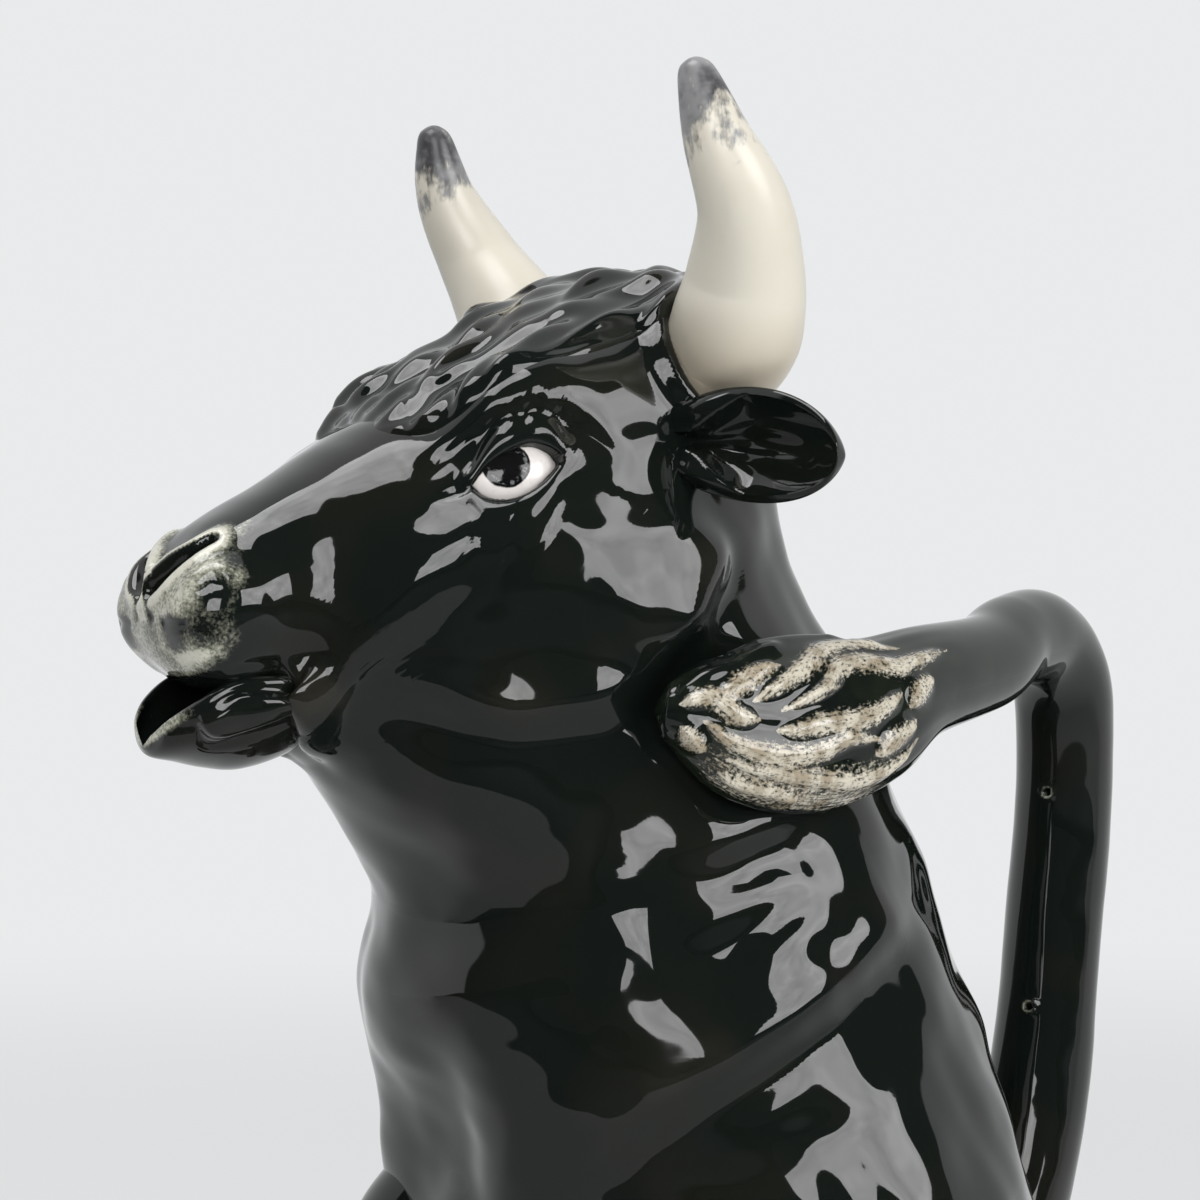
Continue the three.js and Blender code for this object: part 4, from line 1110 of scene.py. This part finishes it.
tail = dict(
    ring=2.2, reach=21.6, swing=26, rise=113, face=(0, 1, 0.1), wave=0.25, waveFrom=1.2,
    backward=(-0.2, 0.34, 0.64, 0.82, 0.94, 0.98, 0.84, 0.4, -0.2, -0.76),
    sideways=(0, 0, 0, 0, 0, 0.04, 0.15, 0.38, 0.69, 1),
    upward=(-0.035, 0.054, 0.196, 0.408, 0.62, 0.785, 0.933, 1.01, 1.006, 0.974),
    radius=(11, 10.5, 9.6, 9.2, 9, 9, 9, 8.6, 8.3, 8.4), vents=(3.0, 4.83), ventAim=(0.857, 0.515, 0),
    vent=0.55, ventRim=(0.25, 0.6, 0.5), ventDepth=2.2, ventEdge=(1.5, 0.4), ventHighlight=(0.55, 0.45, 0.3),
    rows=620, columns=110,
)
tuft = dict(
    ring=(8.52, 8.47, 8.44, 8.68, 9, 9.3), turn=(0.75, 1.01, 1.29, 1.52, 1.67, 1.77),
    over=(11.5, 8.4, 6.6, 6, 5.4, 3.2), breadth=(9.8, 12.8, 14.4, 13.2, 9.2, 3),
    thick=(8.4, 8.8, 8.8, 8.2, 7.2, 4.6), start=9.4,
    # painted strands as places along and round the tuft, then two bare ones
    strands=(
        ((0.2, 0.77), (0.34, 0.51), (0.46, 0.61), (0.54, 0.86), (0.6, 1.05), (0.7, 1.33)),
        ((0.1, 1.08), (0.17, 1.12), (0.26, 1.08), (0.34, 0.89), (0.43, 0.91), (0.49, 1.13), (0.62, 1.43)),
        ((0.17, 1.47), (0.23, 1.54), (0.27, 1.66)), ((0.26, 1.87), (0.33, 1.95), (0.38, 2.06)),
        ((0.28, 1.43), (0.34, 1.52), (0.41, 1.57), (0.51, 1.57), (0.57, 1.64), (0.63, 1.68)),
        ((0.37, 1.87), (0.45, 1.76), (0.52, 1.87), (0.59, 1.95), (0.67, 1.97), (0.76, 1.95), (0.83, 1.78)),
        ((0.26, 2.16), (0.34, 2.32), (0.43, 2.32), (0.51, 2.23), (0.64, 2.2), (0.74, 2.27)),
        ((0.54, 2.6), (0.6, 2.5), (0.67, 2.53), (0.75, 2.57)),
        ((0.9, 1.47), (0.82, 1.34), (0.75, 1.57), (0.68, 1.57)),
        ((0.61, 0.77), (0.7, 0.96), (0.76, 1.19), (0.79, 1.34)), ((0.81, 2.32), (0.86, 2.18), (0.89, 2.02)),
    ),
    bare=(((0.56, 0.3), (0.7, 0.55), (0.82, 0.85), (0.92, 1.2)),
          ((0.3, 0.2), (0.5, 0.15), (0.66, 0.25), (0.8, 0.45))),
    strandSamples=90, strandLift=1.15, strandWidth=2.3, strandEnd=0.12, slim=0.15, hillWide=0.85,
    strokeEdge=(1.4, 0.3), sunk=0.3, comb=0.06, combTeeth=17, combSway=((2.4, 4.5), (1.2, 9)), load=0.68,
    long=60, round=12, reach=8, slimCurve=0.7, holdFrom=(0.02, 0.2), holdEnd=0.1, rows=270, columns=250,
    low=0.5, lowTurns=((1.9, 2.3), (3.2, 2.7)), lowEnds=((0.26, 0.42), (0.88, 0.7)), tipFrom=0.93,
)
tailPoints = pathFrom(formAt(tail["ring"], 0.0)[0], (tail["backward"], tail["sideways"], tail["upward"]),
                      (-tail["reach"], tail["swing"], tail["rise"]))
spinePoints = np.vstack([tailPoints, formAt(tuft["ring"], tuft["turn"], tuft["over"])])
spineEnd = len(spinePoints) - 1
spineBreadth, spineThick = np.r_[tail["radius"], tuft["breadth"]], np.r_[tail["radius"], tuft["thick"]]
spineFace = unit(np.array(tail["face"], float))


# the spine's section: across and out carried by breadth and thickness, at places along it and turns round it
def spineSurface(place, turn, step=1e-3):
    share = np.asarray(place, float) / spineEnd
    path = threaded(spinePoints, share)
    run = unit(threaded(spinePoints, share + step) - threaded(spinePoints, share - step))
    out = unit(spineFace - run * (run @ spineFace)[..., None])
    across = np.cross(run, out)
    breadth, thick = threaded(spineBreadth, share)[..., None], threaded(spineThick, share)[..., None]
    c, s = np.cos(turn)[..., None], np.sin(turn)[..., None]
    return path + across * c * breadth + out * s * thick, path


def spineGrid(start, end, rows, cols):
    place, turn = np.linspace(start, end, rows), circle(cols)
    grid, path = spineSurface(*np.broadcast_arrays(place[:, None], turn[None]))
    return place, turn, grid, path[:, 0]


# Tail: a round section on the spine, wavering a little, with two vent pinholes pressed into its left side,
# each ringed by a painted highlight.
def tailPiece():
    places, _, grid, path = spineGrid(0, tuft["start"], tail["rows"], tail["columns"])
    lean = unit(grid - path[:, None])
    height = tail["wave"] * handWaves(grid) * ramp(tuft["start"] - places, 0, tail["waveFrom"])[:, None]
    brush, vent = 0 * height, tail["vent"]
    outer, inner = tail["ventEdge"]
    for place in tail["vents"]:
        i = np.argmin(np.abs(places - place))
        hole = path[i] + np.array(tail["ventAim"]) * threaded(spineThick, places[i] / spineEnd)
        far = np.linalg.norm(grid - hole, axis=-1)
        pit = tail["ventDepth"] * ramp(far, vent * outer, vent * inner)
        height += hill(far - vent, *tail["ventRim"]) - pit
        # painted highlight: a pale ring of cream brushed round each pinhole
        brush += hill(far - vent, *tail["ventHighlight"])
    grid = closedEnds(grid + lean * height[..., None], path[0], path[-1])
    brush = np.concatenate([brush[:1], brush, brush[-1:]])
    piece = makePiece("tailHandle", [(grid, True, True, 0)], [glaze], {"brush": [brush]})
    settle(piece, "black_glaze", "tail_handle")


# Tuft: the spine's section; each strand is a bell-shaped ridge along its own curve, thin at its ends and
# painted on top.
def tuftPiece():
    _, turns, grid, path = spineGrid(tuft["start"], spineEnd, tuft["rows"], tuft["columns"])
    s = np.linspace(0, 1, len(path))[:, None]
    hold = ramp(s, *tuft["holdFrom"]) * ramp(1 - s, 0, tuft["holdEnd"])
    (slowSway, slow), (quickSway, quick) = tuft["combSway"]
    swayed = slowSway * np.sin(slow * s + np.cos(turns)[None]) + quickSway * np.sin(quick * s)
    comb = np.cos(tuft["combTeeth"] * turns[None] + swayed)
    ridge, brush = np.zeros(grid.shape[:2]), np.zeros(grid.shape[:2])
    across, along = tuft["round"] * turns[None] + 0 * s, tuft["long"] * s + 0 * turns[None]
    outer, inner = tuft["strokeEdge"]
    for strand in tuft["strands"] + tuft["bare"]:
        spots = threaded(np.array(strand), np.linspace(0, 1, tuft["strandSamples"]))
        curve = spineSurface(tuft["start"] + (spineEnd - tuft["start"]) * spots[:, 0], spots[:, 1])[0]
        far, share, signed = nearCurve(grid, curve, tuft["reach"])
        full = np.sin(np.pi * np.clip(share, 0, 1)) ** tuft["slimCurve"]
        slim = tuft["strandWidth"] * (tuft["slim"] + (1 - tuft["slim"]) * full)
        mound = bell(far, slim * tuft["hillWide"]) * held(share, tuft["strandEnd"], tuft["strandEnd"])
        ridge = ridge + mound - ridge * mound
        stroke = ramp(far, slim * outer, slim * inner) * (strand not in tuft["bare"])
        across = np.where(stroke > brush, signed, across)
        along = np.where(stroke > brush, tuft["long"] * share, along)
        brush = np.maximum(brush, stroke)
    low = np.prod([ramp(turns, *edge) for edge in tuft["lowTurns"]], 0)[None]
    low = low * np.prod([ramp(s, *edge) for edge in tuft["lowEnds"]], 0)
    brush = np.maximum(tuft["load"] * brush, tuft["low"] * low)
    lift = hold * (tuft["strandLift"] * (ridge - tuft["sunk"]) + tuft["comb"] * comb)
    tip = np.sqrt(np.clip(1 - ramp(s, tuft["tipFrom"], 1.0) ** 2, 0, 1))
    lean = unit(grid - path[:, None])
    raised = path[:, None] + (grid - path[:, None]) * tip[..., None] + lean * lift[..., None]
    whole = closedEnds(raised, path[0], path[-1])
    marks = {"brush": brush * hold, "acrossStrand": across, "alongStrand": along}
    marks = {label: [np.concatenate([mark[:1] * 0, mark, mark[-1:] * 0])] for label, mark in marks.items()}
    settle(makePiece("tailTuft", [(whole, True, True, 0)], [tuftGlaze], marks), "brushed_glaze", "tail_tuft")


print("drawing the tail")
tailPiece()
tuftPiece()


# Fold of the lip: a lobe in side view that grows from its back point and ends in a round nose, raised inside
# its edge with a groove round it.
def lipFold(x, z):
    back, front, tall, lift = jaw["lobe"]
    run = np.array(front) - np.array(back)
    k = ((x - back[0]) * run[0] + (z - back[1]) * run[1]) / (run @ run)
    square = ((z - back[1]) * run[0] - (x - back[0]) * run[1]) / np.linalg.norm(run)
    noseFrom, noseLength = jaw["lobeNose"]
    nose = np.sqrt(np.clip(1 - np.clip((k - noseFrom) / noseLength, 0, 1) ** 2, 0, 1))
    inside = tall * np.clip(k, 0, 1) ** jaw["lobeCurve"] * nose - np.abs(square)
    swell, *swellFrom = jaw["lobeSwell"]
    raised = ramp(inside, *jaw["lobeStep"]) + swell * ramp(inside, *swellFrom)
    return lift * (raised - hill(inside, *jaw["lobeGroove"]))


# Lower jaw: a trough section carried from the throat to the lip: an outer half oval, a rolled rim, an inner
# half oval.
def jawPiece():
    j = jaw
    s = roundedShares(0, 1 - j["tipShare"], j["tipShare"], *j["rows"])
    fore, under, rim, half = (threaded(j[k], s)[:, None] for k in ("fore", "under", "rim", "half"))
    wall = j["wall"] * np.clip(half / j["fullWallAt"], j["wallLeast"], 1)
    outerCount, rollCount, innerCount = j["arcs"]
    a, c = np.linspace(np.pi, 2 * np.pi, outerCount)[None], np.linspace(2 * np.pi, np.pi, innerCount)[None]
    b = np.linspace(0, np.pi, rollCount)[None, 1:-1]
    depth = np.maximum(rim - under - wall, j["depthLeast"])
    rollY, rollZ = wall / 2 * np.cos(b), rim + wall * j["rollHeight"] * np.sin(b)
    middle = half - wall / 2
    y = np.hstack([half * np.cos(a), middle + rollY, (half - wall) * np.cos(c), rollY - middle])
    z = np.hstack([rim + (rim - under) * np.sin(a), rollZ, rim + depth * np.sin(c), rollZ])
    x = np.broadcast_to(fore, y.shape)
    part = np.repeat((0, 1, 2, 1), (a.size, b.size, c.size, b.size))  # outside, rolled rim, inside
    grid = jawCorner + np.stack([x, y, z], -1)
    push = lipFold(x, z) * ramp(np.abs(y), *j["lobeSide"]) + j["wave"] * handWaves(grid)
    push = (part == 0) * ramp(rim - z, 0, j["rimFade"]) * push
    lean = unit(np.stack([0 * x, y / np.maximum(half, 1), (z - rim) / np.maximum(rim - under, 1)], -1))
    grid = grid + lean * push[..., None]
    onward, low = j["frontPole"]
    startPole = jawCorner + np.array([j["fore"][0], 0, j["backPole"]])
    endPole = jawCorner + np.array([j["fore"][-1] + onward, 0, low])
    brush = np.where(part == 0, ramp(z - rim, *j["brushDown"]), part == 1) * ramp(x, *j["brushFrom"])
    brush = j["brush"] * np.concatenate([brush[:1] * 0, brush, brush[-1:]])
    grids = [(closedEnds(grid, startPole, endPole), True, True, 0)]
    settle(makePiece("lowerJaw", grids, [glaze], {"brush": [brush]}), "black_glaze", "lower_jaw")


print("hanging the jaw")
jawPiece()

leg = dict(
    ring=2.5, turn=2.78, fore=(-17, -12, -4.2, -3, 0, 2), out=(0.4, 0.9, 1.4, 1.9, 2.4, 2.4),
    height=(80, 62, 46, 18, 7, 0.4), radius=(7, 9.5, 12.4, 11.6, 13.6, 14.4), band=(0.8, 15.5, 1.6),
    groove=(0.9, 12.6, 1.0), cleft=1.6, cleftWidth=0.11, cleftFrom=(13, 9), wave=0.5, top=3.0, rows=200,
    columns=160,
)


# turn measured from straight ahead, both ways
def fromFront(turns):
    return np.arctan2(np.sin(turns), np.cos(turns))


# Forelegs: level round sections stacked from the shoulder to the hoof, a band above the hoof and a cleft in
# its front.
def legPieces():
    s = np.linspace(0, 1, leg["rows"])
    start = formAt(leg["ring"], leg["turn"])[0]
    fore, out, height, radius = (threaded(leg[k], s)[:, None] for k in ("fore", "out", "height", "radius"))
    turns = circle(leg["columns"])[None]
    cleft = leg["cleft"] * bell(fromFront(turns), leg["cleftWidth"]) * ramp(height, *leg["cleftFrom"])
    r = radius + hill(height, *leg["band"]) - hill(height, *leg["groove"]) - cleft
    c, d = np.cos(turns) + 0 * height, np.sin(turns) + 0 * height
    grid = np.stack([start[0] + fore + r * c, start[1] + out + r * d, height + 0 * turns], -1)
    grid = grid + np.stack([c, d, 0 * c], -1) * (leg["wave"] * handWaves(grid))[..., None]
    grid = closedEnds(grid, grid[0].mean(0) + np.array([0, 0, leg["top"]]), grid[-1].mean(0))
    pairOfPieces("Foreleg", "foreleg", grid, False, glaze, "black_glaze")


hoof = dict(
    ring=0.75, turn=1.95, half=(22, 12.5, 13), out=0.6, height=5, lift=0.4, cleft=0.11, cleftWidth=0.12,
    band=(0.03, 1.0, 0.07), groove=(0.035, 1.16, 0.05), rows=110, columns=140,
)


# Hind hooves: an oval toe flattened underneath, with a band and a cleft in front.
def hoofPieces():
    place = formAt(hoof["ring"], hoof["turn"])[0]
    middle = np.array([place[0], place[1] + hoof["out"], hoof["height"]])
    a, turns = np.linspace(0, np.pi, hoof["rows"])[:, None], circle(hoof["columns"])[None]
    cleft = 1 - hoof["cleft"] * bell(fromFront(turns), hoof["cleftWidth"]) * np.sin(a) ** 2
    long, wide, tall = hoof["half"]
    band = 1 + hill(a, *hoof["band"]) - hill(a, *hoof["groove"])
    x, y = np.sin(a) * np.cos(turns) * long * cleft, np.sin(a) * np.sin(turns) * wide
    grid = middle + np.stack([x, y, np.cos(a) * tall + 0 * turns], -1) * band[..., None]
    grid[..., 2] = np.maximum(grid[..., 2], hoof["lift"])
    pairOfPieces("HindHoof", "hind_hoof", grid, False, glaze, "black_glaze")


print("adding legs and hooves")
legPieces()
hoofPieces()

# floor, light and camera

stageLook = dict(
    paper=(0.80, 0.81, 0.815), pale=(0.815, 0.825, 0.835), dark=(0.02, 0.02, 0.02), room=0.05,
    towards=(0.5, 0.866, 0.0), shadeEdge=(-0.04, 0.1), shade=0.6, frontEdge=(0.25, 0.28),
    behind=(-0.33, -0.93, -0.12), behindEdge=(-0.12, -0.08), paperRough=0.9, plain=(0.75, 1.0),
    plainEdge=(0.3, 1.0), floorRings=(0, 400, 1200, 4000), floorSides=64, floorDrop=0.02,
)


# how far a vector runs along a direction
def alongNode(tree, vector, direction):
    node = addNode(tree, "ShaderNodeVectorMath", operation="DOT_PRODUCT")
    tree.links.new(vector, node.inputs[0])
    node.inputs[1].default_value = direction
    return node.outputs["Value"]


# Paper floor: seen directly it is mostly its own pale tone, and it keeps the jug's shadow. The glaze sees the
# paper in shade in front of the jug and then its end, with the dark room beyond.
def paperFloor():
    look = stageLook
    material, tree, shader = newMaterial("paperFloor")
    shader.inputs["Roughness"].default_value = look["paperRough"]
    path, place = addNode(tree, "ShaderNodeLightPath").outputs, objectPlace(tree)
    ahead = alongNode(tree, place, look["towards"])
    shaded = times(tree, stepNode(tree, ahead, *look["shadeEdge"]), look["shade"])
    ended = mathNode(tree, "MAXIMUM", stepNode(tree, ahead, *look["frontEdge"]), shaded)
    ended = times(tree, ended, path["Is Glossy Ray"])
    tree.links.new(mixColour(tree, ended, look["paper"], look["dark"]), shader.inputs["Base Color"])
    glow = addNode(tree, "ShaderNodeEmission")
    feed(tree, glow.inputs["Color"], look["pale"])
    away = addNode(tree, "ShaderNodeVectorMath", operation="LENGTH")
    tree.links.new(place, away.inputs[0])
    plain = between(tree, stepNode(tree, away.outputs["Value"], *look["plainEdge"]), look["plain"])
    mirrored = mathNode(tree, "SUBTRACT", path["Is Glossy Ray"], ended)
    seen = mathNode(tree, "MAXIMUM", path["Is Camera Ray"], mirrored)
    mix = addNode(tree, "ShaderNodeMixShader")
    for socket, value in zip(mix.inputs, (times(tree, seen, plain), shader.outputs[0], glow.outputs[0])):
        tree.links.new(value, socket)
    tree.links.new(mix.outputs[0], tree.nodes["Material Output"].inputs["Surface"])
    r, a = np.meshgrid(look["floorRings"], circle(look["floorSides"]), indexing="ij")
    grid = np.stack([r * np.cos(a), r * np.sin(a), 0 * r - look["floorDrop"]], -1)
    makePiece("paperFloor", [(grid, True, False, 0)], [material])


# World: pale where the camera looks, and for reflections pale behind the jug and dim towards the room.
def roomLight():
    look = stageLook
    scene.world = bpy.data.worlds.new("room")
    scene.world.use_nodes = True
    tree = scene.world.node_tree
    path = addNode(tree, "ShaderNodeLightPath").outputs
    run = addNode(tree, "ShaderNodeTexCoord").outputs["Generated"]
    back = stepNode(tree, alongNode(tree, run, look["behind"]), *look["behindEdge"])
    mirrored = mathNode(tree, "MAXIMUM", path["Is Glossy Ray"], path["Is Transmission Ray"])
    share = mathNode(tree, "MAXIMUM", path["Is Camera Ray"], times(tree, mirrored, back))
    dim = (look["room"],) * 3
    tree.links.new(mixColour(tree, share, dim, look["pale"]), tree.nodes["Background"].inputs["Color"])


softboxes = dict(
    # direction from the jug, distance, width, height, watts
    side=((-0.38, 0.84, 0.3), 1.0, 0.6, 0.56, 6.3), front=((0.52, 0.79, 0.28), 1.0, 0.44, 0.44, 3.6),
    top=((0.34, 0.02, 0.94), 1.0, 0.6, 0.6, 6.6),
)
softboxScreen = dict(aim=(0.02, 0, 0.14), cloud=(2.6, 2.0), cloudDepth=1.1)


# Softboxes: rectangular lamps, their screens a little uneven by slow noise over their own place.
def placeSoftboxes():
    aim = Vector(softboxScreen["aim"])
    for name, (way, far, wide, tall, watts) in softboxes.items():
        lamp = bpy.data.lights.new(name, "AREA")
        lamp.use_nodes = True
        tree = lamp.node_tree
        place = addNode(tree, "ShaderNodeNewGeometry").outputs["Parametric"]
        cloud = swing(tree, noiseNode(tree, place, *softboxScreen["cloud"]), softboxScreen["cloudDepth"])
        tree.links.new(plus(tree, cloud, 1.0), tree.nodes["Emission"].inputs["Strength"])
        lamp.shape, lamp.size, lamp.size_y, lamp.energy = "RECTANGLE", wide, tall, watts
        holder = bpy.data.objects.new(name, lamp)
        scene.collection.objects.link(holder)
        holder.location = aim + Vector(way).normalized() * far
        holder.rotation_euler = Vector(way).to_track_quat("Z", "Y").to_euler()


view = dict(
    target=(0.015, -0.009, 0.155), back=(0.5, 0.8660254, 0.0), distance=0.6, pixelsPerMetre=5700, frame=1200,
    sensor=36,
)


def placeCamera():
    camera = bpy.data.cameras.new("camera")
    camera.sensor_width = view["sensor"]
    camera.lens = view["sensor"] * view["pixelsPerMetre"] * view["distance"] / view["frame"]
    holder = bpy.data.objects.new("camera", camera)
    scene.collection.objects.link(holder)
    back = Vector(view["back"])
    holder.location = Vector(view["target"]) + back * view["distance"]
    holder.rotation_euler = (-back).to_track_quat("-Z", "Y").to_euler()
    scene.camera = holder


paperFloor()
roomLight()
placeSoftboxes()
placeCamera()
print("stage and lights set")
